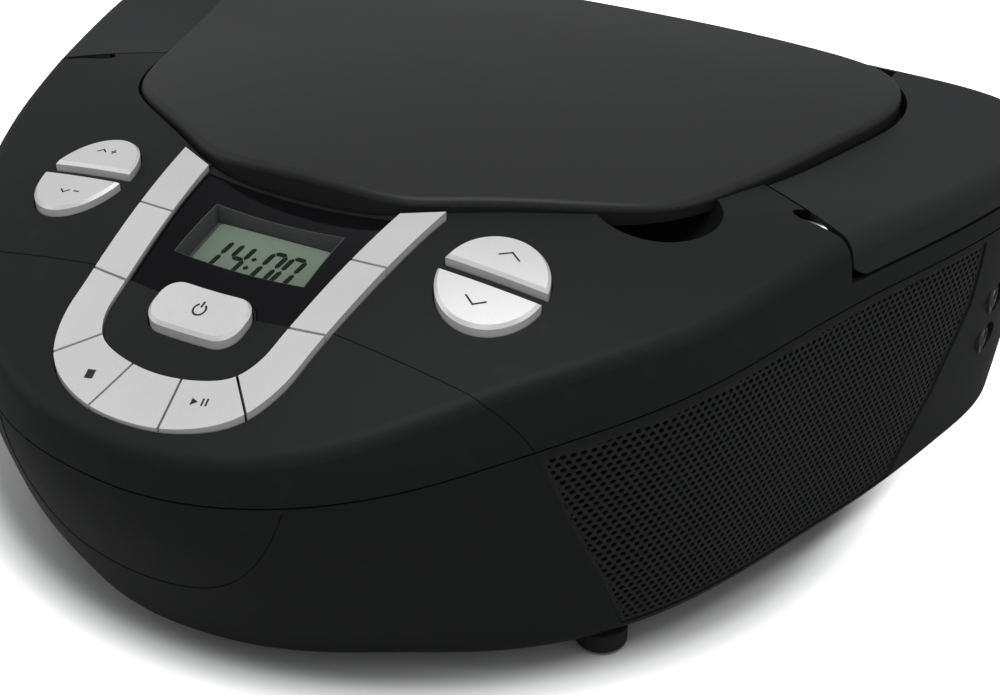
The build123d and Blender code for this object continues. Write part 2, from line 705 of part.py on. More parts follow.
def make_lcd():
    """Display module that stands on the key board and reaches into the opening behind the window."""
    top = 90.0 - WINDOW_THICK - LCD_GLASS_DROP
    place = Pos(*LCD_CENTRE, top) * Rot(LCD_TILT, 0, 0)
    width, depth, thick = LCD_BODY
    glass = Pos(0, 0, -LCD_RAISED[2] / 2) * Box(*LCD_RAISED)
    case = Pos(0, 0, -LCD_RAISED[2] - thick / 2) * Box(width, depth, thick)
    legs = []
    for side in (-1, 1):
        y = LCD_CENTRE[1] + side * (depth / 2 - 2.2)
        high = top - 3.4 + side * (depth / 2 - 2.2) * math.tan(math.radians(LCD_TILT))
        legs.append(box_between((-15, y - 1.2, 50), (15, y + 1.2, high)) & above_board(0))
    keep("lcd_module", (place * (glass + case)) + legs[0] + legs[1])


def ring_keys():
    """Nine keys of the U, split from one band of even thickness."""
    band = prism(u_face(0), 50, HIGH) & below_keys(0)
    band = band - below_keys(-KEY_THICK)
    for start, end in SPLITS:
        middle = Vector((start[0] + end[0]) / 2, (start[1] + end[1]) / 2, 80)
        angle = math.degrees(math.atan2(end[1] - start[1], end[0] - start[0]))
        bar = Pos(*middle) * Rot(0, 0, angle) * Box(20, KEY_SPLIT, 100)
        for piece in both_sides(bar):
            band = band - piece
    solids = band.solids()
    for name, place in STEMS.items():
        for mark, word in ((1, "right"), (-1, "left")):
            if mark < 0 and place[0] == 0:
                continue
            spot = (mark * place[0], place[1])
            key = min(solids, key=lambda item: (item.center() - Vector(*spot, item.center().Z)).length)
            keep(name.replace("right", word), key + stem(spot, key.center().Z))


def make_power_key():
    body = prism(power_face(0), 50, HIGH) & below_dish(POWER_PROUD)
    body = body - below_dish(POWER_PROUD - POWER_THICK)
    body = chamfer(body.faces().sort_by(Axis.Z)[-1].edges(), POWER_BEVEL)
    keep("power_key", body + stem(POWER_CENTRE, body.center().Z))


def make_round_keys():
    for side, word in ((1, "up"), (-1, "down")):
        body = prism(round_half(side, 0), 50, HIGH) & below_deck(ROUND_PROUD)
        body = body - below_deck(ROUND_PROUD - ROUND_THICK)
        body = chamfer(body.faces().sort_by(Axis.Z)[-1].edges(), ROUND_BEVEL)
        key = body + stem(round_stem(side), body.center().Z)
        keep("round_key_right_" + word, key)
        keep("round_key_left_" + word, mirror(key, about=Plane.YZ))


def make_key_board():
    board = polygon_prism(BOARD_PLAN, 40, 100) & above_board(-BOARD_THICK)
    board = board - above_board(0)
    for x, y in SCREW_PLACES:
        for column in both_sides(Pos(x, y, 60) * Cylinder(COLUMN_R + 0.5, 100)):
            board = board - column
    keep("key_board", board)
    switches = []
    places = [POWER_CENTRE, STEMS["key_front"]]
    for x, y in [*list(STEMS.values())[1:], round_stem(1), round_stem(-1)]:
        places.extend([(x, y), (-x, y)])
    half = SWITCH_SIZE / 2
    for x, y in places:
        z = board_z(y)
        case = box_between((x - half, y - half, z - 3), (x + half, y + half, z + SWITCH_H)) & above_board(0)
        cap = cylinder_between((x, y, z + 1), (x, y, z + PLUNGER_H), PLUNGER_R)
        switches.append(case + cap)
    keep("key_switches", group(switches))


def make_lid():
    """Crowned shell with a rounded edge, hinge lugs and a cup for the disc clamp."""
    body = lid_prism(0, 70, ENVELOPE_TOP) & below_lid(0) & above_recess(LID_SEAT_GAP)
    body = fillet(body.faces().sort_by(Axis.Z)[-1].edges(), LID_EDGE_ROUND)
    room = lid_prism(-LID_WALL, 60, ENVELOPE_TOP) & below_lid(-LID_WALL)
    lid = body - room
    cup = cylinder_between((0, DISC_Y, CLAMP_SEAT_Z), (0, DISC_Y, ENVELOPE_TOP), CLAMP_CUP_R)
    inside = cylinder_between((0, DISC_Y, CLAMP_SEAT_Z + 2), (0, DISC_Y, ENVELOPE_TOP), CLAMP_CUP_R - 2)
    lid = lid + ((cup - inside) & below_lid(-LID_WALL / 2))
    lid = lid - cylinder_between((0, DISC_Y, 80), (0, DISC_Y, CLAMP_SEAT_Z + 2.5), CLAMP_BORE_R)
    low, high = HINGE_X - HINGE_LUG_W / 2, HINGE_X + HINGE_LUG_W / 2
    eye = cylinder_between((low, HINGE_Y, HINGE_Z), (high, HINGE_Y, HINGE_Z), HINGE_LUG_R)
    web = box_between((low, HINGE_Y - HINGE_LUG_R, HINGE_Z), (high, HINGE_Y + 3, ENVELOPE_TOP))
    lug = eye + (web & below_lid(-LID_WALL / 2))
    bore = cylinder_between((low - 1, HINGE_Y, HINGE_Z), (high + 1, HINGE_Y, HINGE_Z), HINGE_BORE_R)
    notch = box_between((HINGE_NOTCH[0], HINGE_Y + 4.5, 70), (HINGE_NOTCH[1], HALF_D, HINGE_Z + 1.2))
    lid = (lid - both_sides(notch)) + both_sides(lug - bore)
    keep("lid", lid)
    reach = HINGE_LUG_W / 2 + HINGE_SIDE_GAP + HINGE_POST_W
    axis = (HINGE_Y, HINGE_Z)
    pin = cylinder_between((HINGE_X - reach, *axis), (HINGE_X + reach, *axis), HINGE_PIN_R)
    keep("lid_hinge_pins", group(both_sides(pin)))


def make_clamp():
    base = cylinder_between((0, DISC_Y, CLAMP_Z), (0, DISC_Y, CLAMP_Z + CLAMP_H), CLAMP_R)
    hollow = cylinder_between((0, DISC_Y, CLAMP_Z), (0, DISC_Y, CLAMP_Z + CLAMP_H - 1.2), HUB_NOSE_R + 0.8)
    post = cylinder_between((0, DISC_Y, CLAMP_Z + 3), (0, DISC_Y, CLAMP_SEAT_Z + 3), CLAMP_POST_R)
    head = cylinder_between((0, DISC_Y, CLAMP_SEAT_Z + 2.4), (0, DISC_Y, CLAMP_SEAT_Z + 4.4), CLAMP_CUP_R - 4)
    keep("disc_clamp", base - hollow + post + head)


def make_handle(body):
    handle = body & handle_region(0, HANDLE_BOTTOM_Z)
    handle = handle - lid_prism(HANDLE_GAP, 0, HIGHER)
    handle = handle - box_between((-100, 90, 0), (100, HANDLE_REAR_Y, HIGH))
    axis = (HANDLE_PIVOT_Y, HANDLE_PIVOT_Z)
    end = cylinder_between((-HALF_W - 5, *axis), (HALF_W + 5, *axis), HANDLE_END_R)
    front = box_between((-HALF_W, -HALF_D, 0), (HALF_W, HANDLE_PIVOT_Y, HIGH))
    handle = handle - (front - end)
    low, high = HANDLE_HOLLOW_Y
    room = envelope(HANDLE_WALL, BASE_Z) & box_between((60, low, 60), (HALF_W, high, HIGH))
    room = room - lid_prism(HANDLE_GAP + HANDLE_WALL, 0, HIGHER)
    room = room & below_deck(-HANDLE_WALL)
    bore = cylinder_between((95, *axis), (HANDLE_PIN_OUTER_X + 0.5, *axis), HANDLE_BORE_R)
    keep("handle", handle - both_sides(room, bore, pivot_turning(HANDLE_RELIEF)))
    pin = cylinder_between((HANDLE_PIN_INNER_X, *axis), (HANDLE_PIN_OUTER_X, *axis), HANDLE_PIN_R)
    keep("handle_pins", group(both_sides(pin)))


def make_grilles():
    sheet = envelope(GRILLE_INSET, BASE_Z) - envelope(GRILLE_INSET + GRILLE_THICK, BASE_Z - 1)
    grille = sheet & side_prism(grille_outline(0))
    keep("grille_right", grille)
    keep("grille_left", mirror(grille, about=Plane.YZ))


def baffles():
    """Upright plates that carry the speakers, each with a round opening."""
    plane = speaker_frame_of(SPEAKER_INSET)
    width, height, thick = BAFFLE
    plate = plane.location * Pos(0, 0, -thick / 2) * Box(width, height + 4, thick)
    hole = plane.location * Cylinder(CONE_R + 0.5, 20)
    return both_sides(plate - hole)


def lower_cuts():
    cuts = []
    recess_depth = GRILLE_INSET + GRILLE_THICK + GRILLE_SEAT
    recess = side_prism(grille_outline(GRILLE_GAP)) - envelope(recess_depth, BASE_Z - 1)
    cuts.extend(both_sides(recess))
    cuts.extend(both_sides(side_prism(grille_outline(-GRILLE_LEDGE))))
    for z in (HEADPHONE_Z, AUX_Z):
        cuts.append(cylinder_between((120, JACK_Y, z), (160, JACK_Y, z), JACK_NUT_R + 0.05))
    width, height = INLET_SIZE[0], INLET_SIZE[2]
    cuts.append(Pos(INLET_X, HALF_D - 10, INLET_Z) * Box(width + 0.1, 60, height + 0.1))
    front = DOOR_AXIS[0] - DOOR_BARREL_R - 0.4
    cuts.append(box_between((-BAY_X, front, 0), (BAY_X, BAY_Y[1], BASE_Z + WALL + 1)))
    cuts.extend(both_sides(cylinder_between((BAY_X - 2, *DOOR_AXIS), (BAY_X + 3.2, *DOOR_AXIS), DOOR_BORE_R)))
    for x, y in SCREW_PLACES:
        cuts.extend(both_sides(cylinder_between((x, y, 0), (x, y, COLUMN_SPLIT_Z), SCREW_R + 0.1)))
        cuts.extend(both_sides(cylinder_between((x, y, 0), (x, y, SCREW_HEAD_Z), SCREW_HEAD_R + 0.2)))
    return cuts


def make_lower(body):
    floor_z = BASE_Z + WALL
    room = envelope(WALL, floor_z)
    lower = (body - seam_cutter(-SEAM_GAP / 2)) - room
    inner = envelope(WALL + BAFFLE_CLEAR, BASE_Z + 1) - seam_cutter(-SEAM_GAP)
    zone = inner & box_between((-HALF_W, -90, 0), (HALF_W, 60, BASE_Z + BAFFLE[1]))
    extras = [plate & zone for plate in baffles()]
    extras.append(bay_box(BAY_WALL, BASE_Z + 1, BAY_Z + BAY_WALL) - bay_box(0, BASE_Z, BAY_Z))
    extras.extend(both_sides(box_between((BAY_X + 0.2, 16, BASE_Z + 1), (BAY_X + 4, 24, BASE_Z + 7))))
    for x, y in SCREW_PLACES:
        extras.extend(both_sides(cylinder_between((x, y, BASE_Z + 1), (x, y, COLUMN_SPLIT_Z), COLUMN_R)))
    keep("lower_housing", (lower + extras) - lower_cuts())


def make_door():
    """Battery door with a rolled front edge and two stub pins."""
    y, z = DOOR_AXIS
    x = BAY_X - DOOR_GAP
    plate = box_between((-x, y, BASE_Z), (x, BAY_Y[1] - DOOR_GAP, BASE_Z + DOOR_THICK))
    barrel = cylinder_between((-x, y, z), (x, y, z), DOOR_BARREL_R)
    pins = cylinder_between((-BAY_X - 2.6, y, z), (BAY_X + 2.6, y, z), DOOR_PIN_R)
    catch = box_between((-9, BAY_Y[1] - 5, BASE_Z), (9, BAY_Y[1] - 3.4, BASE_Z + 6))
    grip = Pos(0, BAY_Y[1] - 9, BASE_Z) * Box(16, 3, 1.6)
    keep("battery_door", plate + barrel + pins + catch - grip)


def make_battery_contacts():
    contacts = []
    for x in (-39.0, -13.0, 13.0, 39.0):
        contacts.append(box_between((x - 9, BAY_Y[1] - 0.6, 12), (x + 9, BAY_Y[1], 32)))
        contacts.append(box_between((x - 9, BAY_Y[0], 12), (x + 9, BAY_Y[0] + 0.6, 32)))
        coil = cylinder_between((x, BAY_Y[0] + 0.6, 22), (x, BAY_Y[0] + 6, 22), 5)
        coil = coil - cylinder_between((x, BAY_Y[0] + 0.6, 22), (x, BAY_Y[0] + 6, 22), 4)
        contacts[-1] = contacts[-1] + coil
    keep("battery_contacts", group(contacts))


def make_speakers():
    back = SPEAKER_INSET + BAFFLE[2]
    place = speaker_frame_of(back).location
    flange = Pos(0, 0, -0.75) * Box(SPEAKER_FLANGE, SPEAKER_FLANGE, 1.5)
    basket = Pos(0, 0, -8.5) * Cone(12.0, CONE_R + 2, 14)
    inside = Pos(0, 0, -8.5) * Cone(11.0, CONE_R + 0.6, 14)
    frame = flange + basket - inside - Pos(0, 0, -1) * Cylinder(CONE_R, 4)
    frame = frame + Pos(0, 0, -17.0) * Cylinder(13, 3) - Pos(0, 0, -17.0) * Cylinder(9, 3)
    cone = Pos(0, 0, -7.8) * (Cone(9.5, CONE_R - 0.8, 12.4) - Pos(0, 0, 1.2) * Cone(8.5, CONE_R - 1.0, 12.4))
    cone = cone + Pos(0, 0, -12.5) * Cylinder(8.6, 1.6)
    magnet = Pos(0, 0, -22.5) * Cylinder(16, 8) + Pos(0, 0, -17.2) * Cylinder(8.8, 3)
    for name, shape in (("speaker_frame", frame), ("speaker_cone", cone), ("speaker_magnet", magnet)):
        keep(name + "_right", place * shape)
        keep(name + "_left", mirror(place * shape, about=Plane.YZ))


def make_jacks():
    """Two sockets in the right wall, each a bush with a body behind it."""
    length, depth, height = JACK_BODY
    for name, z in (("headphone_jack", HEADPHONE_Z), ("aux_jack", AUX_Z)):
        face = wall_x(JACK_Y, z) - JACK_SUNK
        bush = cylinder_between((face - JACK_BUSH, JACK_Y, z), (face, JACK_Y, z), JACK_NUT_R)
        case = Pos(face - JACK_BUSH - length / 2, JACK_Y, z) * Box(length, depth, height)
        bore = cylinder_between((face - JACK_BORE_LENGTH, JACK_Y, z), (face + 1, JACK_Y, z), JACK_BORE_R)
        keep(name, bush + case - bore)


def make_inlet():
    width, depth, height = INLET_SIZE
    face = HALF_D - 3.2
    case = Pos(INLET_X, face - depth / 2, INLET_Z) * Box(width, depth, height)
    hole_w, hole_d, hole_h = INLET_HOLE
    hole = Pos(INLET_X, face - hole_d / 2, INLET_Z) * Box(hole_w, hole_d, hole_h)
    prongs = []
    for side in (-1, 1):
        x = INLET_X + side * 3.6
        prongs.append(cylinder_between((x, face - hole_d - 1, INLET_Z), (x, face - 2.5, INLET_Z), 1.2))
    keep("mains_inlet", case - hole + prongs[0] + prongs[1])


def make_transformer():
    core = box_between(TRANSFORMER_LOW, TRANSFORMER_HIGH)
    x0, y0, z0 = TRANSFORMER_LOW
    x1, y1, z1 = TRANSFORMER_HIGH
    window = box_between((x0 + 8, y0, z0 + 8), (x1 - 8, y1, z1 - 8))
    coil = box_between((x0 + 8, y0 - 3, z0 + 8), (x1 - 8, y1 + 3, z1 - 8))
    keep("transformer", (core - window) + coil)


def make_boards():
    board = box_between((-60, 24, 49.0), (60, 100, 50.6))
    posts = [cylinder_between((x, y, BAY_Z + BAY_WALL), (x, y, 49.0), 3) for x in (-48, 48) for y in (30, 94)]
    keep("main_board", board + posts[0] + posts[1] + posts[2] + posts[3])
    parts = [cylinder_between((x, 90, 50.6), (x, 90, 59.0), 4) for x in (-44, -32, -20)]
    parts.append(box_between((10, 70, 50.6), (26, 86, 52.8)))
    parts.append(box_between((-30, 60, 50.6), (-12, 74, 52.8)))
    keep("board_components", group(parts))


def make_well():
    """Cup that holds the disc, with openings for the hub and the lens."""
    top = recess_z(DISC_Y + WELL_R)
    outer = cylinder_between((0, DISC_Y, WELL_FLOOR_Z - WELL_WALL), (0, DISC_Y, 100), WELL_R + WELL_WALL)
    inner = cylinder_between((0, DISC_Y, WELL_FLOOR_Z), (0, DISC_Y, 110), WELL_R)
    well = (outer - inner) - above_recess(-PAN_WALL)
    hub_hole = cylinder_between((0, DISC_Y, 60), (0, DISC_Y, 90), HUB_BOSS_R + 3)
    slot_end = SLED_START_X + SLED_TRAVEL + LENS_R + LENS_GAP
    slot = box_between((0, DISC_Y - SLOT_HALF, 60), (slot_end, DISC_Y + SLOT_HALF, WELL_FLOOR_Z + 0.5))
    trough = box_between((-HALF_W, TROUGH_Y - PAN_WALL, 0), (HALF_W, HALF_D, 120))
    keep("disc_well", well - hub_hole - slot - trough)


def rod_lines():
    """Distances of the two guide rods."""
    return (DISC_Y - ROD_Y, DISC_Y + ROD_Y)


def make_deck_frame():
    """Plate below the well with posts, rod blocks and a bearing for the sled screw."""
    x0, x1 = FRAME_X
    y0, y1 = DISC_Y - FRAME_HALF_Y, DISC_Y + FRAME_HALF_Y
    frame = box_between((x0, y0, FRAME_Z), (x1, y1, FRAME_Z + FRAME_THICK))
    for x in (x0 + 5, x1 - 10):
        for y in (y0 + 4, y1 - 4):
            frame = frame + cylinder_between((x, y, FRAME_Z), (x, y, WELL_FLOOR_Z - WELL_WALL), FRAME_POST_R)
    line_y = DISC_Y + SCREW_LINE_Y
    blocks = [(x, y) for x in (ROD_X[0], ROD_X[1] - BLOCK) for y in rod_lines()]
    for x, y in [*blocks, (ROD_X[1] - BLOCK, line_y)]:
        frame = frame + box_between((x, y - BLOCK, FRAME_Z), (x + BLOCK, y + BLOCK, ROD_Z + BLOCK))
    for y in rod_lines():
        frame = frame - cylinder_between((ROD_X[0], y, ROD_Z), (ROD_X[1], y, ROD_Z), ROD_R)
    start, end = ROD_X[1] - BLOCK - 0.5, ROD_X[1] - 1
    bearing = cylinder_between((start, line_y, ROD_Z), (end, line_y, ROD_Z), SCREW_BEARING_R)
    keep("deck_frame", frame - bearing)
    rods = [cylinder_between((ROD_X[0], y, ROD_Z), (ROD_X[1], y, ROD_Z), ROD_R) for y in rod_lines()]
    keep("guide_rods", group(rods))


def make_spindle():
    """Spindle motor on the frame and the turntable hub on its shaft."""
    motor_top = WELL_FLOOR_Z - WELL_WALL - 0.8
    motor = cylinder_between((0, DISC_Y, FRAME_Z + FRAME_THICK), (0, DISC_Y, motor_top), MOTOR_R)
    motor_bore = cylinder_between((0, DISC_Y, motor_top - 6), (0, DISC_Y, motor_top), SPINDLE_BORE_R)
    keep("spindle_motor", motor - motor_bore)
    seat = DISC_SEAT_Z
    flange = cylinder_between((0, DISC_Y, seat - HUB_FLANGE_H), (0, DISC_Y, seat), HUB_FLANGE_R)
    nose = cylinder_between((0, DISC_Y, seat), (0, DISC_Y, seat + HUB_NOSE_H), HUB_NOSE_R)
    nose = chamfer(nose.faces().sort_by(Axis.Z)[-1].edges(), HUB_BEVEL)
    boss = cylinder_between((0, DISC_Y, motor_top + 0.8), (0, DISC_Y, seat), HUB_BOSS_R)
    shaft = cylinder_between((0, DISC_Y, motor_top - 5.5), (0, DISC_Y, seat), SPINDLE_R)
    keep("turntable_hub", flange + nose + boss + shaft)


def make_sled():
    """Laser sled with its lens, and the screw and motor that move it."""
    length, width, height = SLED_SIZE
    x = SLED_START_X
    line_y = DISC_Y + SCREW_LINE_Y
    sled = Pos(x, DISC_Y, ROD_Z) * Box(length, width, height)
    sled = sled + box_between((x - 3, DISC_Y, ROD_Z - 2), (x + 3, line_y - SCREW_LINE_R - 0.4, ROD_Z + 2))
    for y in rod_lines():
        sled = sled - cylinder_between((x - length, y, ROD_Z), (x + length, y, ROD_Z), ROD_BORE_R)
    keep("laser_sled", sled)
    lens_z = ROD_Z + height / 2
    keep("laser_lens", cylinder_between((x, DISC_Y, lens_z), (x, DISC_Y, lens_z + LENS_H), LENS_R))
    start, end = ROD_X[0] + 0.6, ROD_X[1] - 1.4
    keep("sled_screw", cylinder_between((start, line_y, ROD_Z), (end, line_y, ROD_Z), SCREW_LINE_R))
    motor = cylinder_between((ROD_X[0] - 14, line_y, ROD_Z), (ROD_X[0] + BLOCK, line_y, ROD_Z), SLED_MOTOR_R)
    low = (ROD_X[0] - 12, line_y - BLOCK, FRAME_Z + FRAME_THICK)
    motor = motor + box_between(low, (ROD_X[0] - 2, line_y + BLOCK, ROD_Z))
    hole = cylinder_between((ROD_X[0], line_y, ROD_Z), (ROD_X[0] + BLOCK, line_y, ROD_Z), SCREW_BEARING_R)
    keep("sled_motor", motor - hole)


def make_feet_and_screws():
    feet = [cylinder_between((x, y, 0), (x, y, BASE_Z), FOOT_R) for x, y in (FRONT_FOOT, REAR_FOOT)]
    feet = [chamfer(foot.faces().sort_by(Axis.Z)[0].edges(), 0.8) for foot in feet]
    keep("feet", group(both_sides(*feet)))
    screws = []
    for x, y in SCREW_PLACES:
        shank = cylinder_between((x, y, SCREW_HEAD_Z - 1), (x, y, COLUMN_SPLIT_Z + 8), SCREW_R)
        head = cylinder_between((x, y, SCREW_HEAD_Z - 2), (x, y, SCREW_HEAD_Z), SCREW_HEAD_R)
        slot = box_between((x - 2.2, y - 0.4, 0), (x + 2.2, y + 0.4, SCREW_HEAD_Z - 1.2))
        screws.append(shank + head - slot)
    keep("housing_screws", group(both_sides(*screws)))


def main():
    body = make_body()
    make_upper(body)
    make_lower(body)
    make_handle(body)
    make_lid()
    make_clamp()
    make_window()
    make_lcd()
    ring_keys()
    make_power_key()
    make_round_keys()
    make_key_board()
    make_grilles()
    make_speakers()
    make_jacks()
    make_inlet()
    make_transformer()
    make_boards()
    make_battery_contacts()
    make_door()
    make_well()
    make_deck_frame()
    make_spindle()
    make_sled()
    make_feet_and_screws()
    os.makedirs("parts", exist_ok=True)
    for name, shape in PARTS.items():
        export_step(shape, "parts/" + name + ".step")
    print(len(PARTS), "parts")


if __name__ == "__main__":
    main()
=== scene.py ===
import json
import math

import bpy
from bpy.props import FloatProperty, FloatVectorProperty, PointerProperty
from mathutils import Matrix, Vector


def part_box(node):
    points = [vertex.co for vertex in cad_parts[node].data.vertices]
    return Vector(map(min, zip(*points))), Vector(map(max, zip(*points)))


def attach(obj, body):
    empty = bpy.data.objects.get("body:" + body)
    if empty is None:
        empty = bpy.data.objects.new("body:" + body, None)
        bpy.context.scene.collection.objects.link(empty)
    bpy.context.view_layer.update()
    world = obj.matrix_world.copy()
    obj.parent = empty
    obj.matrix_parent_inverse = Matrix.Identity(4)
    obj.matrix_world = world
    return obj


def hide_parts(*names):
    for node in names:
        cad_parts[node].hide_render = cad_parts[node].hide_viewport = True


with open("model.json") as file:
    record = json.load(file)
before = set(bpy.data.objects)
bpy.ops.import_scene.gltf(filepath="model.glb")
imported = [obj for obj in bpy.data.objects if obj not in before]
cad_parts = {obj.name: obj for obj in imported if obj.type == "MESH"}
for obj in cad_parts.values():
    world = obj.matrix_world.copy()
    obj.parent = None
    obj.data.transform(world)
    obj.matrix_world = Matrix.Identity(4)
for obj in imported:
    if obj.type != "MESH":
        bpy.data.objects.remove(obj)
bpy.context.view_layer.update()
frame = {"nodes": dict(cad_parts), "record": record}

bl_info = {
    "name": "Disc player finish",
    "version": (1, 0, 0),
    "blender": (4, 5, 0),
    "location": "View3D > Sidebar > Disc player",
    "description": "Perforated grilles, display, key marks, finishes and studio for the disc player",
    "category": "Object",
}

MM = 0.001

# Side view of a grille as (y, z) corners in mm; its top follows the seam of the housings.
GRILLE_SIDE = [
    (-77.0, 64.35), (-70.0, 43.0), (-64.0, 25.0), (-58.5, 9.5),
    (29.0, 9.5), (42.0, 30.0), (52.0, 53.0), (54.0, 71.5),
]
GRILLE_TOP = [(32.17, 71.5), (10.33, 71.48), (-11.5, 70.63), (-33.33, 69.05), (-55.17, 66.9)]

# Fine crease lines as (x, y, z) in mm: an arc on the front bowl, and one across each shoulder; they are drawn
# near black, as painted shade in the creases.
BOWL_LINE = [
    (-39.0, -114.0, 60.0), (-31.0, -117.0, 35.0), (0.0, -118.3, 30.0),
    (31.0, -117.0, 35.0), (39.0, -114.0, 60.0),
]
SHOULDER_LINE = [
    (31.0, -82.0, 85.5), (50.0, -82.6, 84.0), (70.0, -83.2, 80.0), (80.0, -81.5, 73.0), (81.0, -78.5, 67.0),
]

# The display lies in a tilted plane; u runs right and v runs up the slope from its middle, in mm.
DISPLAY_MIDDLE = Vector((0.0, -63.2, 85.4))
DISPLAY_TILT = 15.5
SEGMENTS = {
    "top": (0.5, 1.0, False), "middle": (0.5, 0.5, False), "bottom": (0.5, 0.0, False),
    "upper_left": (0.0, 0.75, True), "upper_right": (1.0, 0.75, True),
    "lower_left": (0.0, 0.25, True), "lower_right": (1.0, 0.25, True),
}
FIGURES = {
    "1": ("upper_right", "lower_right"),
    "4": ("upper_left", "upper_right", "middle", "lower_right"),
    "0": ("top", "bottom", "upper_left", "upper_right", "lower_left", "lower_right"),
}
CLOCK = [("1", -14.2), ("4", -7.6), ("0", 1.3), ("0", 6.7)]
FIGURE_WIDTH = 3.5
FIGURE_MIDDLE = -1.15
FIGURE_LEAN = 0.14
COLON_U = -1.9
COLON_DOTS = (-0.1, -3.2)
INK_THICK = 0.06
FIGURES_ABOVE_GLASS = 0.32
GLASS_SIZE = (32.0, 16.4)
GLASS_CENTRE = (-0.9, 0.1, 0.0)
GLASS_CORNER = 1.0
GLASS_THICK = 0.3

# Wall of the display's recess: its plan, a height clear above the window, and its lowest point, in mm.
RECESS_PLAN = (37.0, 17.8)
RECESS_START = (0.0, -63.2, 98.0)
RECESS_LOW = (0.0, -63.2, 84.6)
RECESS_DEPTH = 8.0
RECESS_WALL = 0.35

# Disc hub, in metres.
HUB_RING_AT = (0.0, 0.030, 0.0809)
HUB_BALL_CIRCLE = 0.0071
HUB_BALL_Z = 0.0829
HUB_BALL_RADIUS = 0.0009

# Lamps as name, place, size in metres and power in watts; they all point at LAMP_TARGET.
LAMP_TARGET = (0.0, 0.0, 0.05)
LAMPS = [
    ("Top softbox", (0.15, -0.1, 1.4), (1.2, 1.0), 12.5),
    ("Left softbox", (-1.3, -0.5, 0.9), (0.9, 0.9), 2.5),
    ("Front fill", (0.5, -1.5, 0.8), (1.0, 0.8), 1.9),
    ("Right fill", (1.4, 0.1, 0.7), (0.8, 0.8), 2.0),
]

# Clear part of the printed window as (left, right, front, rear) in mm.
WINDOW_CLEAR = (-18.4, 18.4, -72.0, -54.4)

# Painted shadow on the floor: the camera sees the floor darker in an oval round the foot of the body, and
# past that oval a painted white glow hides the rest of the real shadow; bands are in radii of that oval.
FLOOR_OVAL_MIDDLE = (-0.006, 0.014, 0.0)
FLOOR_OVAL_SIZE = (0.131, 0.121, 1.0)
FLOOR_PAINTED_SHADOW_BAND = (0.96, 1.02)
FLOOR_PAINTED_SHADOW_EDGE = (0.98, 1.14)


# Small helpers for working by hand

def deselect():
    if bpy.context.object and bpy.context.object.mode != "OBJECT":
        bpy.ops.object.mode_set(mode="OBJECT")
    bpy.ops.object.select_all(action="DESELECT")


def focus(obj):
    deselect()
    obj.select_set(True)
    bpy.context.view_layer.objects.active = obj
    return obj


def added(name):
    """The object that the last operator made, under its own name."""
    obj = bpy.context.object
    obj.name = name
    obj.data.name = name
    return obj


def edit(mode="FACE"):
    """Edit mode; its select mode is set first, so that what is selected stays selected."""
    bpy.context.tool_settings.mesh_select_mode = [mode == kind for kind in ("VERT", "EDGE", "FACE")]
    bpy.ops.object.mode_set(mode="EDIT")


def done():
    bpy.ops.object.mode_set(mode="OBJECT")


def pick(obj, items, test):
    """Selects faces, edges or vertices by their place, and leaves edit mode on."""
    done()
    for group in (obj.data.vertices, obj.data.edges, obj.data.polygons):
        for item in group:
            item.select = False
    for item in getattr(obj.data, items):
        if test(item):
            item.select = True
    edit({"vertices": "VERT", "edges": "EDGE", "polygons": "FACE"}[items])


def apply_modifier(obj, kind, **settings):
    focus(obj)
    modifier = obj.modifiers.new(kind.title(), kind)
    for key, value in settings.items():
        setattr(modifier, key, value)
    bpy.ops.object.modifier_apply(modifier=modifier.name)
    return obj


def settle(obj):
    """Puts the object's place into its mesh."""
    focus(obj)
    bpy.ops.object.transform_apply(location=True, rotation=True, scale=True)
    return obj


def join(parts, name):
    focus(parts[0])
    for part in parts[1:]:
        part.select_set(True)
    bpy.context.view_layer.objects.active = parts[0]
    if len(parts) > 1:
        bpy.ops.object.join()
    return added(name)


def twin(obj, name):
    """A copy with its own mesh."""
    focus(obj)
    bpy.ops.object.duplicate()
    return added(name)


def outwards(obj):
    focus(obj)
    edit()
    bpy.ops.mesh.select_all(action="SELECT")
    bpy.ops.mesh.normals_make_consistent(inside=False)
    done()
    return obj


def smooth(obj, angle=35.0):
    focus(obj)
    bpy.ops.object.shade_smooth_by_angle(angle=math.radians(angle))
    return obj


def finish_piece(obj, body, material):
    obj.data.materials.clear()
    obj.data.materials.append(material)
    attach(obj, body)
    return obj


def plane(name, width, depth, at=(0.0, 0.0, 0.0), turn=0.0):
    """Flat rectangle in mm."""
    deselect()
    place = [value * MM for value in at]
    bpy.ops.mesh.primitive_plane_add(size=1.0, location=place, rotation=(0, 0, math.radians(turn)))
    obj = added(name)
    obj.scale = (width * MM, depth * MM, 1.0)
    return settle(obj)


def display_plane():
    """Matrix of the display's plane."""
    return Matrix.Translation(DISPLAY_MIDDLE * MM) @ Matrix.Rotation(math.radians(DISPLAY_TILT), 4, "X")


def lay(obj, target, gap, axis="Z", down=True):
    """Drops a flat piece onto a CAD node along an axis, a small gap above it."""
    settings = {"target": frame["nodes"][target], "wrap_method": "PROJECT", "offset": gap * MM}
    settings["use_project_" + axis.lower()] = True
    settings["use_negative_direction"] = down
    settings["use_positive_direction"] = not down
    return apply_modifier(obj, "SHRINKWRAP", **settings)


# Shader groups and materials

def new_group(name, inputs, outputs):
    tree = bpy.data.node_groups.new(name, "ShaderNodeTree")
    for label, kind, value in inputs:
        socket = tree.interface.new_socket(name=label, in_out="INPUT", socket_type=kind)
        socket.default_value = value
    for label, kind in outputs:
        tree.interface.new_socket(name=label, in_out="OUTPUT", socket_type=kind)
    start = tree.nodes.new("NodeGroupInput")
    end = tree.nodes.new("NodeGroupOutput")
    return tree, start, end


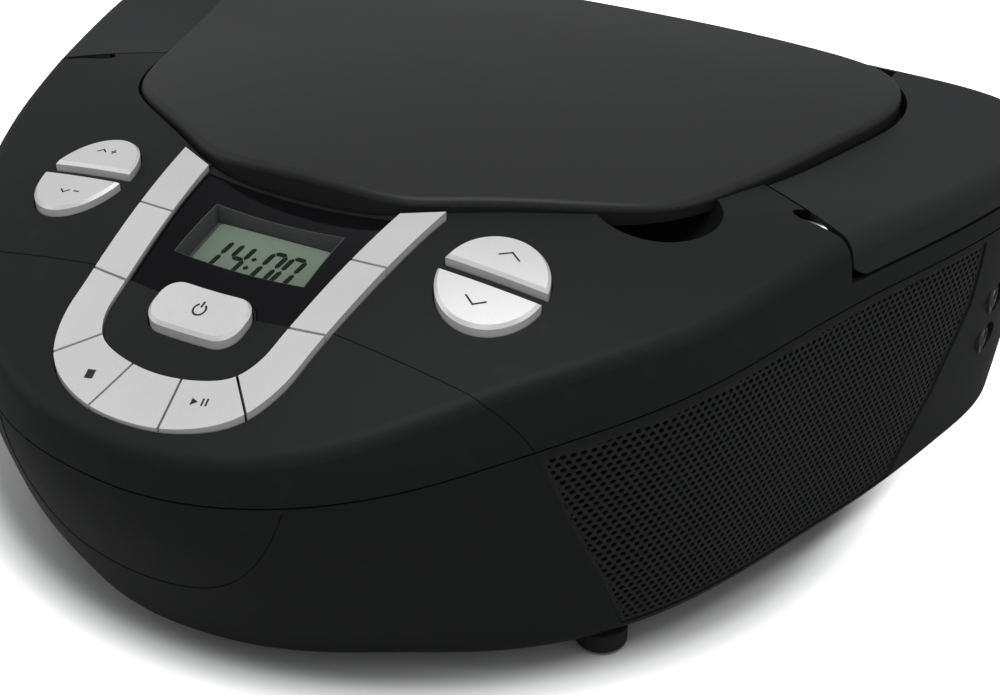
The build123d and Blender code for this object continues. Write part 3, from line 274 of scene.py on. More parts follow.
def math_node(tree, operation, first, second=None, clamp=False):
    node = tree.nodes.new("ShaderNodeMath")
    node.operation = operation
    node.use_clamp = clamp
    for socket, value in zip(node.inputs, (first, second)):
        if value is None:
            continue
        if hasattr(value, "links"):
            tree.links.new(value, socket)
        else:
            socket.default_value = value
    return node.outputs[0]


def noise(tree, scale, detail=3.0, vector=None):
    node = tree.nodes.new("ShaderNodeTexNoise")
    node.inputs["Detail"].default_value = detail
    if hasattr(scale, "links"):
        tree.links.new(scale, node.inputs["Scale"])
    else:
        node.inputs["Scale"].default_value = scale
    if vector is None:
        vector = tree.nodes.new("ShaderNodeTexCoord").outputs["Object"]
    tree.links.new(vector, node.inputs["Vector"])
    return node.outputs["Fac"]


def mix_colour(tree, share, first, second):
    node = tree.nodes.new("ShaderNodeMix")
    node.data_type = "RGBA"
    sockets = (node.inputs[0], node.inputs[6], node.inputs[7])
    for socket, value in zip(sockets, (share, first, second)):
        if hasattr(value, "links"):
            tree.links.new(value, socket)
        elif isinstance(value, (tuple, list)):
            socket.default_value = (*value[:3], 1.0)
        else:
            socket.default_value = value
    return node.outputs[2]


def moulded_grain():
    """Fine spark-eroded grain of a moulded surface, with faint cloudy changes in colour and gloss."""
    inputs = [
        ("Colour", "NodeSocketColor", (0.03, 0.03, 0.03, 1.0)), ("Colour change", "NodeSocketFloat", 0.12),
        ("Roughness", "NodeSocketFloat", 0.5), ("Gloss change", "NodeSocketFloat", 0.08),
        ("Grain scale", "NodeSocketFloat", 2400.0), ("Cloud scale", "NodeSocketFloat", 26.0),
    ]
    outputs = [("Colour", "NodeSocketColor"), ("Roughness", "NodeSocketFloat"), ("Height", "NodeSocketFloat")]
    tree, start, end = new_group("Moulded grain", inputs, outputs)
    grain = noise(tree, start.outputs["Grain scale"], 2.0)
    cloud = noise(tree, start.outputs["Cloud scale"], 4.0)
    centred = math_node(tree, "SUBTRACT", cloud, 0.5)
    speck = math_node(tree, "SUBTRACT", grain, 0.5)
    mottle = math_node(tree, "ADD", centred, speck)
    change = math_node(tree, "MULTIPLY", mottle, start.outputs["Colour change"])
    factor = math_node(tree, "ADD", change, 1.0)
    scale = tree.nodes.new("ShaderNodeVectorMath")
    scale.operation = "SCALE"
    tree.links.new(start.outputs["Colour"], scale.inputs[0])
    tree.links.new(factor, scale.inputs["Scale"])
    tree.links.new(scale.outputs[0], end.inputs["Colour"])
    gloss = math_node(tree, "MULTIPLY", centred, start.outputs["Gloss change"])
    rough = math_node(tree, "ADD", start.outputs["Roughness"], gloss, clamp=True)
    tree.links.new(rough, end.inputs["Roughness"])
    tree.links.new(grain, end.inputs["Height"])
    return tree


def handling_marks():
    """Faint rubbed spots and dust that lighten a surface a little."""
    inputs = [
        ("Colour", "NodeSocketColor", (0.03, 0.03, 0.03, 1.0)),
        ("Mark colour", "NodeSocketColor", (0.2, 0.2, 0.2, 1.0)),
        ("Amount", "NodeSocketFloat", 0.04), ("Scale", "NodeSocketFloat", 140.0),
    ]
    outputs = [("Colour", "NodeSocketColor"), ("Mask", "NodeSocketFloat")]
    tree, start, end = new_group("Handling marks", inputs, outputs)
    fine = noise(tree, start.outputs["Scale"], 6.0)
    spots = math_node(tree, "MULTIPLY", math_node(tree, "SUBTRACT", fine, 0.62, clamp=True), 4.0, clamp=True)
    mask = math_node(tree, "MULTIPLY", spots, start.outputs["Amount"])
    colour = mix_colour(tree, mask, start.outputs["Colour"], start.outputs["Mark colour"])
    tree.links.new(colour, end.inputs["Colour"])
    tree.links.new(mask, end.inputs["Mask"])
    return tree


def brushed_lines():
    """Fine lines along one axis, as on turned or brushed metal."""
    inputs = [
        ("Colour", "NodeSocketColor", (0.5, 0.5, 0.5, 1.0)), ("Roughness", "NodeSocketFloat", 0.3),
        ("Line scale", "NodeSocketFloat", 900.0), ("Stretch", "NodeSocketVector", (1.0, 0.03, 1.0)),
    ]
    outputs = [("Colour", "NodeSocketColor"), ("Roughness", "NodeSocketFloat"), ("Height", "NodeSocketFloat")]
    tree, start, end = new_group("Brushed lines", inputs, outputs)
    where = tree.nodes.new("ShaderNodeTexCoord").outputs["Object"]
    stretch = tree.nodes.new("ShaderNodeVectorMath")
    stretch.operation = "MULTIPLY"
    tree.links.new(where, stretch.inputs[0])
    tree.links.new(start.outputs["Stretch"], stretch.inputs[1])
    lines = noise(tree, start.outputs["Line scale"], 3.0, stretch.outputs[0])
    change = math_node(tree, "ADD", math_node(tree, "MULTIPLY", lines, 0.3), 0.85)
    scale = tree.nodes.new("ShaderNodeVectorMath")
    scale.operation = "SCALE"
    tree.links.new(start.outputs["Colour"], scale.inputs[0])
    tree.links.new(change, scale.inputs["Scale"])
    tree.links.new(scale.outputs[0], end.inputs["Colour"])
    rough = math_node(tree, "ADD", start.outputs["Roughness"], math_node(tree, "MULTIPLY", lines, 0.15))
    tree.links.new(rough, end.inputs["Roughness"])
    tree.links.new(lines, end.inputs["Height"])
    return tree


def place_group(tree, name, **values):
    node = tree.nodes.new("ShaderNodeGroup")
    node.node_tree = bpy.data.node_groups[name]
    for label, value in values.items():
        socket = node.inputs[label.replace("_", " ")]
        if hasattr(value, "links"):
            tree.links.new(value, socket)
        elif isinstance(value, (tuple, list)) and socket.type == "RGBA":
            socket.default_value = (*value[:3], 1.0)
        else:
            socket.default_value = value
    return node


def start_material(name):
    material = bpy.data.materials.new(name)
    material.use_nodes = True
    tree = material.node_tree
    shader = tree.nodes["Principled BSDF"]
    return material, tree, shader


def bump(tree, shader, height, strength, distance):
    node = tree.nodes.new("ShaderNodeBump")
    node.inputs["Strength"].default_value = strength
    node.inputs["Distance"].default_value = distance * MM
    tree.links.new(height, node.inputs["Height"])
    tree.links.new(node.outputs["Normal"], shader.inputs["Normal"])


def moulded(
    name, colour, roughness, grain=0.25, specular=0.5, change=0.12, marks=0.03, scale=2400.0, depth=0.02
):
    """Moulded plastic, rubber or paint with a fine grain and faint handling marks."""
    material, tree, shader = start_material(name)
    base = place_group(
        tree, "Moulded grain", Colour=colour, Colour_change=change, Roughness=roughness, Grain_scale=scale
    )
    marked = place_group(tree, "Handling marks", Colour=base.outputs["Colour"], Amount=marks)
    tree.links.new(marked.outputs["Colour"], shader.inputs["Base Color"])
    tree.links.new(base.outputs["Roughness"], shader.inputs["Roughness"])
    shader.inputs["Specular IOR Level"].default_value = specular
    bump(tree, shader, base.outputs["Height"], grain, depth)
    return material


def metal(name, colour, roughness, stretch=(1.0, 0.03, 1.0), scale=900.0):
    """Turned, drawn or brushed metal."""
    material, tree, shader = start_material(name)
    base = place_group(
        tree, "Brushed lines", Colour=colour, Roughness=roughness, Line_scale=scale, Stretch=stretch
    )
    marked = place_group(
        tree, "Handling marks", Colour=base.outputs["Colour"], Mark_colour=(0.3, 0.29, 0.27), Amount=0.2
    )
    tree.links.new(marked.outputs["Colour"], shader.inputs["Base Color"])
    tree.links.new(base.outputs["Roughness"], shader.inputs["Roughness"])
    shader.inputs["Metallic"].default_value = 1.0
    bump(tree, shader, base.outputs["Height"], 0.2, 0.01)
    return material


def silver_key(name, colour, roughness):
    """Silver lacquer on a moulded key, with fine metal flake."""
    material, tree, shader = start_material(name)
    base = place_group(
        tree, "Moulded grain", Colour=colour, Colour_change=0.16, Roughness=roughness, Gloss_change=0.1,
        Grain_scale=3600.0,
    )
    marked = place_group(
        tree, "Handling marks", Colour=base.outputs["Colour"], Mark_colour=(0.3, 0.3, 0.3), Amount=0.1
    )
    tree.links.new(marked.outputs["Colour"], shader.inputs["Base Color"])
    tree.links.new(base.outputs["Roughness"], shader.inputs["Roughness"])
    shader.inputs["Metallic"].default_value = 0.35
    shader.inputs["Specular IOR Level"].default_value = 0.5
    shader.inputs["Coat Weight"].default_value = 0.25
    shader.inputs["Coat Roughness"].default_value = 0.25
    bump(tree, shader, base.outputs["Height"], 0.12, 0.01)
    return material


def between(tree, value, low, high, soft):
    """1 between two values, 0 outside, with a soft edge."""
    parts = []
    for edge, sign in ((low, 1.0), (high, -1.0)):
        lifted = math_node(tree, "MULTIPLY", math_node(tree, "SUBTRACT", value, edge), sign / soft)
        parts.append(math_node(tree, "ADD", lifted, 0.5, clamp=True))
    return math_node(tree, "MULTIPLY", parts[0], parts[1])


def window_material(name):
    """Black printed window, clear over the display."""
    material, tree, shader = start_material(name)
    where = tree.nodes.new("ShaderNodeSeparateXYZ")
    tree.links.new(tree.nodes.new("ShaderNodeTexCoord").outputs["Object"], where.inputs[0])
    left, right, front, rear = WINDOW_CLEAR
    across = between(tree, where.outputs["X"], left * MM, right * MM, 0.1 * MM)
    along = between(tree, where.outputs["Y"], front * MM, rear * MM, 0.1 * MM)
    clear = math_node(tree, "MULTIPLY", across, along)
    alpha = math_node(tree, "SUBTRACT", 1.0, math_node(tree, "MULTIPLY", clear, 0.94))
    tree.links.new(alpha, shader.inputs["Alpha"])
    marked = place_group(
        tree, "Handling marks", Colour=(0.004, 0.004, 0.005), Mark_colour=(0.12, 0.12, 0.12), Amount=0.03,
        Scale=90.0,
    )
    tree.links.new(marked.outputs["Colour"], shader.inputs["Base Color"])
    streak = noise(tree, 30.0, 2.0)
    rough = math_node(tree, "ADD", math_node(tree, "MULTIPLY", streak, 0.04), 0.03)
    tree.links.new(rough, shader.inputs["Roughness"])
    shader.inputs["Specular IOR Level"].default_value = 0.12
    return material


def lid_material(name, colour):
    """Smooth satin plastic of the lid."""
    material, tree, shader = start_material(name)
    base = place_group(
        tree, "Moulded grain", Colour=colour, Colour_change=0.08, Roughness=0.42, Gloss_change=0.05,
        Grain_scale=2600.0,
    )
    marked = place_group(tree, "Handling marks", Colour=base.outputs["Colour"], Amount=0.02)
    tree.links.new(marked.outputs["Colour"], shader.inputs["Base Color"])
    tree.links.new(base.outputs["Roughness"], shader.inputs["Roughness"])
    shader.inputs["Specular IOR Level"].default_value = 0.24
    bump(tree, shader, base.outputs["Height"], 0.12, 0.012)
    return material


def board_material(name):
    """Green lacquered circuit board with fine copper tracks under the lacquer."""
    material, tree, shader = start_material(name)
    brick = tree.nodes.new("ShaderNodeTexBrick")
    tree.links.new(tree.nodes.new("ShaderNodeTexCoord").outputs["Object"], brick.inputs["Vector"])
    brick.inputs["Scale"].default_value = 180.0
    brick.inputs["Mortar Size"].default_value = 0.03
    brick.inputs["Color1"].default_value = (0.012, 0.1, 0.035, 1.0)
    brick.inputs["Color2"].default_value = (0.016, 0.13, 0.045, 1.0)
    brick.inputs["Mortar"].default_value = (0.03, 0.2, 0.06, 1.0)
    marked = place_group(tree, "Handling marks", Colour=brick.outputs["Color"], Amount=0.08)
    tree.links.new(marked.outputs["Colour"], shader.inputs["Base Color"])
    rough = math_node(tree, "ADD", math_node(tree, "MULTIPLY", noise(tree, 60.0), 0.2), 0.2)
    tree.links.new(rough, shader.inputs["Roughness"])
    bump(tree, shader, brick.outputs["Fac"], 0.3, 0.03)
    return material


def laminated_material(name):
    """Stack of thin steel sheets."""
    material, tree, shader = start_material(name)
    wave = tree.nodes.new("ShaderNodeTexWave")
    wave.bands_direction = "Y"
    wave.inputs["Scale"].default_value = 600.0
    wave.inputs["Distortion"].default_value = 0.4
    tree.links.new(tree.nodes.new("ShaderNodeTexCoord").outputs["Object"], wave.inputs["Vector"])
    colour = mix_colour(tree, wave.outputs["Fac"], (0.03, 0.028, 0.025), (0.12, 0.11, 0.1))
    tree.links.new(colour, shader.inputs["Base Color"])
    rough = math_node(tree, "ADD", math_node(tree, "MULTIPLY", noise(tree, 90.0), 0.2), 0.4)
    tree.links.new(rough, shader.inputs["Roughness"])
    shader.inputs["Metallic"].default_value = 0.8
    bump(tree, shader, wave.outputs["Fac"], 0.4, 0.05)
    return material


def lens_material(name):
    """Coated glass lens."""
    material, tree, shader = start_material(name)
    tint = mix_colour(tree, noise(tree, 200.0), (0.2, 0.3, 0.75), (0.32, 0.22, 0.7))
    tree.links.new(tint, shader.inputs["Base Color"])
    tree.links.new(math_node(tree, "MULTIPLY", noise(tree, 300.0), 0.06), shader.inputs["Roughness"])
    shader.inputs["Coat Weight"].default_value = 1.0
    return material


def display_material(name):
    """Grey-green liquid crystal glass, with a painted reflection that makes it a little lighter towards its
    top.
    """
    material, tree, shader = start_material(name)
    where = tree.nodes.new("ShaderNodeSeparateXYZ")
    tree.links.new(tree.nodes.new("ShaderNodeTexCoord").outputs["Object"], where.inputs[0])
    # Painted reflection: the glass colour grows lighter towards the top of the display.
    slope = math_node(tree, "MULTIPLY", math_node(tree, "ADD", where.outputs["Y"], 0.075), 40.0, clamp=True)
    mottle = math_node(tree, "MULTIPLY", noise(tree, 2600.0, 1.0), 0.25)
    share = math_node(tree, "ADD", slope, mottle, clamp=True)
    colour = mix_colour(tree, share, (0.16, 0.215, 0.16), (0.205, 0.27, 0.2))
    tree.links.new(colour, shader.inputs["Base Color"])
    rough = math_node(tree, "ADD", math_node(tree, "MULTIPLY", noise(tree, 40.0), 0.05), 0.3)
    tree.links.new(rough, shader.inputs["Roughness"])
    shader.inputs["Specular IOR Level"].default_value = 0.3
    return material


def make_materials(look):
    moulded_grain()
    handling_marks()
    brushed_lines()
    body = tuple(look.body_colour)
    # Painted shade: the disc bay takes the body colour darkened to 0.45 of it, as shade in the recess.
    painted_bay_shade = tuple(value * 0.45 for value in body)
    made = {
        "housing": moulded("Satin body", body, 0.5, 0.3, 0.14),
        "lid": lid_material("Satin lid", tuple(look.lid_colour)),
        # Painted light: the handle takes the body colour made 1.3 times lighter, as light on its top.
        "handle": moulded("Satin handle", tuple(value * 1.3 for value in body), 0.48, 0.3, 0.2),
        "grille": moulded("Painted grille", (0.012, 0.0125, 0.0135), 0.45, 0.12, 0.2),
        "window": window_material("Black window"),
        "display": display_material("Display glass"),
        "bezel": moulded("Display bezel", (0.085, 0.085, 0.087), 0.6, 0.2, 0.2),
        "key": silver_key("Silver ring key", tuple(look.key_colour), 0.36),
        "round_key": silver_key("Silver round key", tuple(look.bright_key_colour), 0.34),
        "power_key": silver_key("Silver power key", tuple(look.bright_key_colour), 0.34),
        "well": moulded("Disc bay", painted_bay_shade, 0.45, 0.25, 0.4),
        "clamp": moulded("Disc clamp", (0.09, 0.09, 0.092), 0.45),
        "turntable": moulded("Turntable", (0.03, 0.03, 0.032), 0.4),
        "frame": moulded("Deck frame", (0.015, 0.015, 0.016), 0.55),
        "sled": metal("Cast sled", (0.45, 0.45, 0.46), 0.45),
        "lens": lens_material("Coated lens"),
        "steel": metal("Turned steel", (0.5, 0.5, 0.51), 0.28),
        "motor": metal("Drawn motor can", (0.42, 0.42, 0.43), 0.35, (1.0, 1.0, 0.03)),
        "circuit_board": board_material("Circuit board"),
        "switch": moulded("Switch case", (0.02, 0.02, 0.022), 0.5),
        "component": moulded("Component case", (0.015, 0.015, 0.02), 0.4),
        "rubber": moulded("Foot rubber", (0.012, 0.012, 0.012), 0.75, 0.5, 0.2, 0.2, 0.08, 1400.0, 0.04),
        "speaker_frame": moulded("Speaker frame", (0.01, 0.01, 0.01), 0.5),
        "cone": moulded("Paper cone", (0.012, 0.012, 0.012), 0.8, 0.6, 0.2, 0.3, 0.05, 900.0, 0.1),
        "magnet": moulded("Ferrite magnet", (0.03, 0.03, 0.031), 0.6),
        "transformer": laminated_material("Laminated core"),
        "contact": metal("Plated contact", (0.6, 0.58, 0.52), 0.25),
        "socket": moulded("Inlet case", (0.012, 0.012, 0.012), 0.4),
        "jack": moulded("Socket bush", (0.012, 0.012, 0.013), 0.4),
        "nut": metal("Plated ring", (0.12, 0.118, 0.115), 0.4),
        "ink": moulded("Printed mark", (0.015, 0.015, 0.016), 0.6, 0.1, 0.3, 0.1, 0.02),
        "segment": moulded("Display segment", (0.006, 0.009, 0.007), 0.4, 0.05, 0.2, 0.05, 0.0),
        "ring": moulded("Hub ring rubber", (0.03, 0.03, 0.03), 0.7, 0.4, 0.2),
        # Painted shade: near-black colour of the crease lines, standing for the shade in the creases.
        "groove": moulded("Groove shade", (0.004, 0.004, 0.004), 0.7, 0.1, 0.1, 0.05, 0.0),
    }
    return made


MADE = {}


def slot_of(node):
    for entry in frame["record"]["subparts"]:
        if entry["node"] == node:
            return entry["material_slot"]
    raise RuntimeError("no slot for " + node)


# Settings that a user would change

class DiscPlayerSizes(bpy.types.PropertyGroup):
    hole_pitch: FloatProperty(
        name="Hole pitch", description="Distance between grille holes", default=0.00195, unit="LENGTH"
    )
    hole_size: FloatProperty(
        name="Hole size", description="Corner radius of a grille hole", default=0.00062, unit="LENGTH"
    )
    sheet: FloatProperty(
        name="Sheet thickness", description="Thickness of the perforated sheet", default=0.0006, unit="LENGTH"
    )
    rim: FloatProperty(
        name="Grille rim", description="Width of the plain rim of a grille", default=0.0011, unit="LENGTH"
    )
    figure_height: FloatProperty(
        name="Figure height", description="Height of the display's figures", default=0.0094, unit="LENGTH"
    )
    stroke: FloatProperty(
        name="Segment width", description="Width of a display segment", default=0.0013, unit="LENGTH"
    )
    mould_line: FloatProperty(
        name="Painted crease line", description="Width of a fine painted crease line", default=0.00028, unit="LENGTH"
    )


class DiscPlayerLook(bpy.types.PropertyGroup):
    # The handle takes this colour made 1.3 times lighter, as painted light.
    body_colour: FloatVectorProperty(
        name="Body", description="Colour of the housings and handle", subtype="COLOR",
        default=(0.0102, 0.0109, 0.0108),
    )
    lid_colour: FloatVectorProperty(
        name="Lid", description="Colour of the disc lid", subtype="COLOR", default=(0.0165, 0.0168, 0.0167)
    )
    key_colour: FloatVectorProperty(
        name="Ring keys", description="Colour of the ring of keys", subtype="COLOR",
        default=(0.68, 0.675, 0.67),
    )
    bright_key_colour: FloatVectorProperty(
        name="Round keys", description="Colour of the round keys and the power key", subtype="COLOR",
        default=(0.74, 0.735, 0.73),
    )


# Pieces

def hole_lattice(name, low, high, pitch, hole):
    """Sheet in the YZ plane with holes in a triangular lattice; low and high are (y, z) in metres."""
    row = pitch * math.sqrt(3) / 2
    wide, tall = math.ceil((high[0] - low[0]) / pitch), math.ceil((high[1] - low[1]) / row)
    deselect()
    bpy.ops.mesh.primitive_grid_add(x_subdivisions=wide, y_subdivisions=tall, size=1.0)
    sheet = added(name)
    sheet.scale = (wide * pitch, tall * row, 1.0)
    sheet.location = (low[0] + wide * pitch / 2, low[1] + tall * row / 2, 0.0)
    settle(sheet)
    pick(sheet, "vertices", lambda v: round((v.co.y - low[1]) / row) % 2 == 1)
    bpy.ops.transform.translate(value=(pitch / 2, 0, 0))
    bpy.ops.mesh.select_all(action="SELECT")
    bpy.ops.mesh.quads_convert_to_tris(quad_method="SHORTEST_DIAGONAL")
    bpy.ops.mesh.bevel(offset=hole, offset_type="OFFSET", affect="VERTICES", segments=2, profile=0.18)

    def at_lattice(face):
        place = face.center
        line = (place.y - low[1]) / row
        shift = (pitch / 2) if round(line) % 2 == 1 else 0.0
        column = (place.x - low[0] - shift) / pitch
        away = math.hypot((line - round(line)) * row, (column - round(column)) * pitch)
        return away < 0.4 * pitch

    pick(sheet, "polygons", at_lattice)
    bpy.ops.mesh.delete(type="FACE")
    bpy.ops.mesh.select_all(action="SELECT")
    bpy.ops.mesh.quads_convert_to_tris(ngon_method="BEAUTY")
    done()
    return sheet


def within(corners, place):
    """True where a place lies inside a convex outline given anticlockwise."""
    for (ax, ay), (bx, by) in zip(corners, [*corners[1:], corners[0]]):
        if (place.x - ax) * (by - ay) - (place.y - ay) * (bx - ax) > 0:
            return False
    return True


def cut_along(obj, corners, keep_inside):
    """Cuts a flat XY sheet along a convex outline and deletes one side of it."""
    focus(obj)
    edit()
    for (ax, ay), (bx, by) in zip(corners, [*corners[1:], corners[0]]):
        bpy.ops.mesh.select_all(action="SELECT")
        length = math.hypot(bx - ax, by - ay)
        outward = ((by - ay) / length, (ax - bx) / length, 0.0)
        bpy.ops.mesh.bisect(plane_co=(ax, ay, 0.0), plane_no=outward, threshold=1e-6)
    pick(obj, "polygons", lambda face: within(corners, face.center) != keep_inside)
    bpy.ops.mesh.delete(type="FACE")
    done()
    return obj


def shrink(corners, distance):
    """Moves the sides of a convex outline inwards."""
    lines = []
    for (ax, ay), (bx, by) in zip(corners, [*corners[1:], corners[0]]):
        length = math.hypot(bx - ax, by - ay)
        nx, ny = (by - ay) / length, (ax - bx) / length
        lines.append((nx, ny, nx * ax + ny * ay - distance))
    moved = []
    for (a, b, c), (d, e, f) in zip([lines[-1], *lines[:-1]], lines):
        det = a * e - b * d
        moved.append(((c * e - b * f) / det, (a * f - c * d) / det))
    return moved


def upright(obj):
    """Turns a flat XY sheet so that x becomes y, y becomes z, and it faces +X outside the body."""
    obj.matrix_world = Matrix(((0, 0, 1, 0.165), (1, 0, 0, 0), (0, 1, 0, 0), (0, 0, 0, 1)))
    return settle(obj)


def make_grille(sizes):
    corners = [(y * MM, z * MM) for y, z in [*GRILLE_SIDE, *GRILLE_TOP]]
    low = (min(c[0] for c in corners) - 0.002, min(c[1] for c in corners) - 0.002)
    high = (max(c[0] for c in corners) + 0.002, max(c[1] for c in corners) + 0.002)
    sheet = hole_lattice("grille_sheet", low, high, sizes.hole_pitch, sizes.hole_size)
    cut_along(sheet, shrink(corners, sizes.rim * 0.6), True)
    deselect()
    bpy.ops.mesh.primitive_grid_add(x_subdivisions=66, y_subdivisions=34, size=1.0)
    rim = added("grille_rim")
    rim.scale = (high[0] - low[0], high[1] - low[1], 1.0)
    rim.location = ((low[0] + high[0]) / 2, (low[1] + high[1]) / 2, 0.0)
    settle(rim)
    cut_along(rim, shrink(corners, 0.00005), True)
    cut_along(rim, shrink(corners, sizes.rim), False)
    made = []
    for piece, depth in ((sheet, sizes.sheet), (rim, sizes.sheet * 1.5)):
        upright(piece)
        lay(piece, "grille_right", 0.0, "X", True)
        pick(piece, "vertices", lambda vertex: vertex.co.x > 0.155)
        bpy.ops.mesh.delete(type="VERT")
        done()
        apply_modifier(piece, "SOLIDIFY", thickness=depth, offset=-1.0)
        made.append(outwards(piece))
    return join(made, "perforated_grille_right")


class OBJECT_OT_disc_player_grilles(bpy.types.Operator):
    """Perforated sheets in place of the two plain grilles"""
    bl_idname = "object.disc_player_grilles"
    bl_label = "Make grilles"

    def execute(self, context):
        right = make_grille(context.scene.disc_player_sizes)
        left = twin(right, "perforated_grille_left")
        left.scale = (-1.0, 1.0, 1.0)
        outwards(settle(left))
        for piece, node in ((right, "grille_right"), (left, "grille_left")):
            smooth(piece, 30.0)
            finish_piece(piece, "housing", MADE["grille"])
            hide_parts(node)
        return {"FINISHED"}


def display_piece(obj):
    obj.matrix_world = display_plane() @ obj.matrix_world
    return settle(obj)


def segment(name, length, stroke, at, standing):
    """Flat bar with pointed ends."""
    bar = plane(name, length, stroke)
    focus(bar)
    edit("VERT")
    bpy.ops.mesh.select_all(action="SELECT")
    bpy.ops.mesh.bevel(offset=stroke * MM * 0.5, offset_type="OFFSET", affect="VERTICES", segments=1)
    done()
    bar.rotation_euler = (0, 0, math.radians(90) if standing else 0)
    bar.location = (at[0] * MM, at[1] * MM, 0)
    return settle(bar)


def make_figures(sizes):
    """The clock's figures, leaning a little, and its colon."""
    height, stroke = sizes.figure_height / MM, sizes.stroke / MM
    parts = []
    for figure, left in CLOCK:
        for part in FIGURES[figure]:
            u, v, standing = SEGMENTS[part]
            length = (height / 2 - 0.25) if standing else (FIGURE_WIDTH - 0.3)
            at = (left + u * FIGURE_WIDTH, FIGURE_MIDDLE + (v - 0.5) * height)
            parts.append(segment(part, length, stroke, at, standing))
    for v in COLON_DOTS:
        parts.append(segment("colon", stroke * 1.2, stroke * 1.1, (COLON_U, v), False))
    figures = join(parts, "display_figures")
    lean = Matrix.Identity(4)
    lean[0][1] = FIGURE_LEAN
    lean[0][3] = -FIGURE_LEAN * FIGURE_MIDDLE * MM
    figures.data.transform(lean)
    apply_modifier(figures, "SOLIDIFY", thickness=INK_THICK * MM, offset=1.0)
    figures.location = (0, 0, FIGURES_ABOVE_GLASS * MM)
    return display_piece(settle(figures))


def make_recess_wall():
    """Wall of the display's recess, from just under the face of the window down to the glass."""
    wall = plane("display_bezel", *RECESS_PLAN, RECESS_START)
    focus(wall)
    edit()
    bpy.ops.mesh.select_all(action="SELECT")
    bpy.ops.mesh.subdivide(number_cuts=12)
    done()
    lay(wall, "display_window", -0.05)
    focus(wall)
    edit("EDGE")
    bpy.ops.mesh.select_all(action="SELECT")
    bpy.ops.mesh.region_to_loop()
    bpy.ops.mesh.extrude_region_move(TRANSFORM_OT_translate={"value": (0, 0, -RECESS_DEPTH * MM)})
    pick(wall, "polygons", lambda face: abs(face.normal.z) > 0.8)
    bpy.ops.mesh.delete(type="FACE")
    bpy.ops.mesh.select_all(action="SELECT")
    low = [value * MM for value in RECESS_LOW]
    slope = math.radians(DISPLAY_TILT)
    bpy.ops.mesh.bisect(plane_co=low, plane_no=(0, math.sin(slope), -math.cos(slope)), clear_outer=True)
    done()
    return apply_modifier(outwards(wall), "SOLIDIFY", thickness=RECESS_WALL * MM, offset=-1.0)


class OBJECT_OT_disc_player_display(bpy.types.Operator):
    """Display glass with rounded corners, its bezel and the clock's figures"""
    bl_idname = "object.disc_player_display"
    bl_label = "Make display"

    def execute(self, context):
        glass = plane("display_glass", *GLASS_SIZE, GLASS_CENTRE)
        focus(glass)
        edit("VERT")
        bpy.ops.mesh.select_all(action="SELECT")
        bpy.ops.mesh.bevel(offset=GLASS_CORNER * MM, offset_type="OFFSET", affect="VERTICES", segments=5)
        done()
        apply_modifier(glass, "SOLIDIFY", thickness=GLASS_THICK * MM, offset=1.0)
        finish_piece(smooth(display_piece(outwards(glass))), "housing", MADE["display"])
        finish_piece(make_figures(context.scene.disc_player_sizes), "housing", MADE["segment"])
        finish_piece(make_recess_wall(), "housing", MADE["bezel"])
        return {"FINISHED"}


def ring_mark(name, radius, stroke, turn_from, turn_by):
    """Arc of even width, spun from a short bar."""
    bar = plane(name, stroke, 0.001, (radius, 0, 0))

    def far_edge(edge):
        first, second = (bar.data.vertices[index].co for index in edge.vertices)
        return abs(first.y - second.y) < 1e-9 and first.y > 0

    pick(bar, "edges", far_edge)
    bpy.ops.mesh.spin(steps=28, angle=math.radians(turn_by), center=(0, 0, 0), axis=(0, 0, 1))
    done()
    bar.rotation_euler = (0, 0, math.radians(turn_from))
    return settle(bar)


def stroke_bar(name, start, end, width):
    length = math.hypot(end[0] - start[0], end[1] - start[1])
    turn = math.degrees(math.atan2(end[1] - start[1], end[0] - start[0]))
    return plane(name, length, width, ((start[0] + end[0]) / 2, (start[1] + end[1]) / 2, 0), turn)


def chevron(name, size, width, up):
    side = 1 if up else -1
    parts = [
        stroke_bar(name, (-size, -side * size * 0.35), (0.18, side * size * 0.42), width),
        stroke_bar(name, (size, -side * size * 0.35), (-0.18, side * size * 0.42), width),
    ]
    return join(parts, name)


def triangle(name, size):
    deselect()
    quarter = math.radians(-90)
    bpy.ops.mesh.primitive_circle_add(
        vertices=3, radius=size * MM, fill_type="NGON", rotation=(0, 0, quarter)
    )
    return settle(added(name))


def power_mark():
    parts = [ring_mark("arc", 1.55, 0.5, 58, 296), stroke_bar("bar", (0, 0.6), (0, 2.3), 0.5)]
    return join(parts, "mark_power")


def play_pause_mark():
    play = triangle("play", 1.05)
    play.location = (-1.5 * MM, 0, 0)
    parts = [settle(play)]
    for x in (0.7, 1.7):
        parts.append(plane("pause", 0.42, 1.9, (x, 0, 0)))
    return join(parts, "mark_play_pause")


def plus_minus(name, plus):
    parts = [plane(name, 1.7, 0.36)]
    if plus:
        parts.append(plane(name, 0.36, 1.7))
    return join(parts, name)


def put_mark(mark, node, at, turn):
    """Lays a printed mark on top of a key."""
    focus(mark)
    edit()
    bpy.ops.mesh.select_all(action="SELECT")
    bpy.ops.mesh.subdivide(number_cuts=2)
    done()
    mark.location = (at[0] * MM, at[1] * MM, 0.13)
    mark.rotation_euler = (0, 0, math.radians(turn))
    settle(mark)
    lay(mark, node, 0.02)
    apply_modifier(mark, "SOLIDIFY", thickness=0.04 * MM, offset=1.0)
    return finish_piece(outwards(mark), node, MADE["ink"])


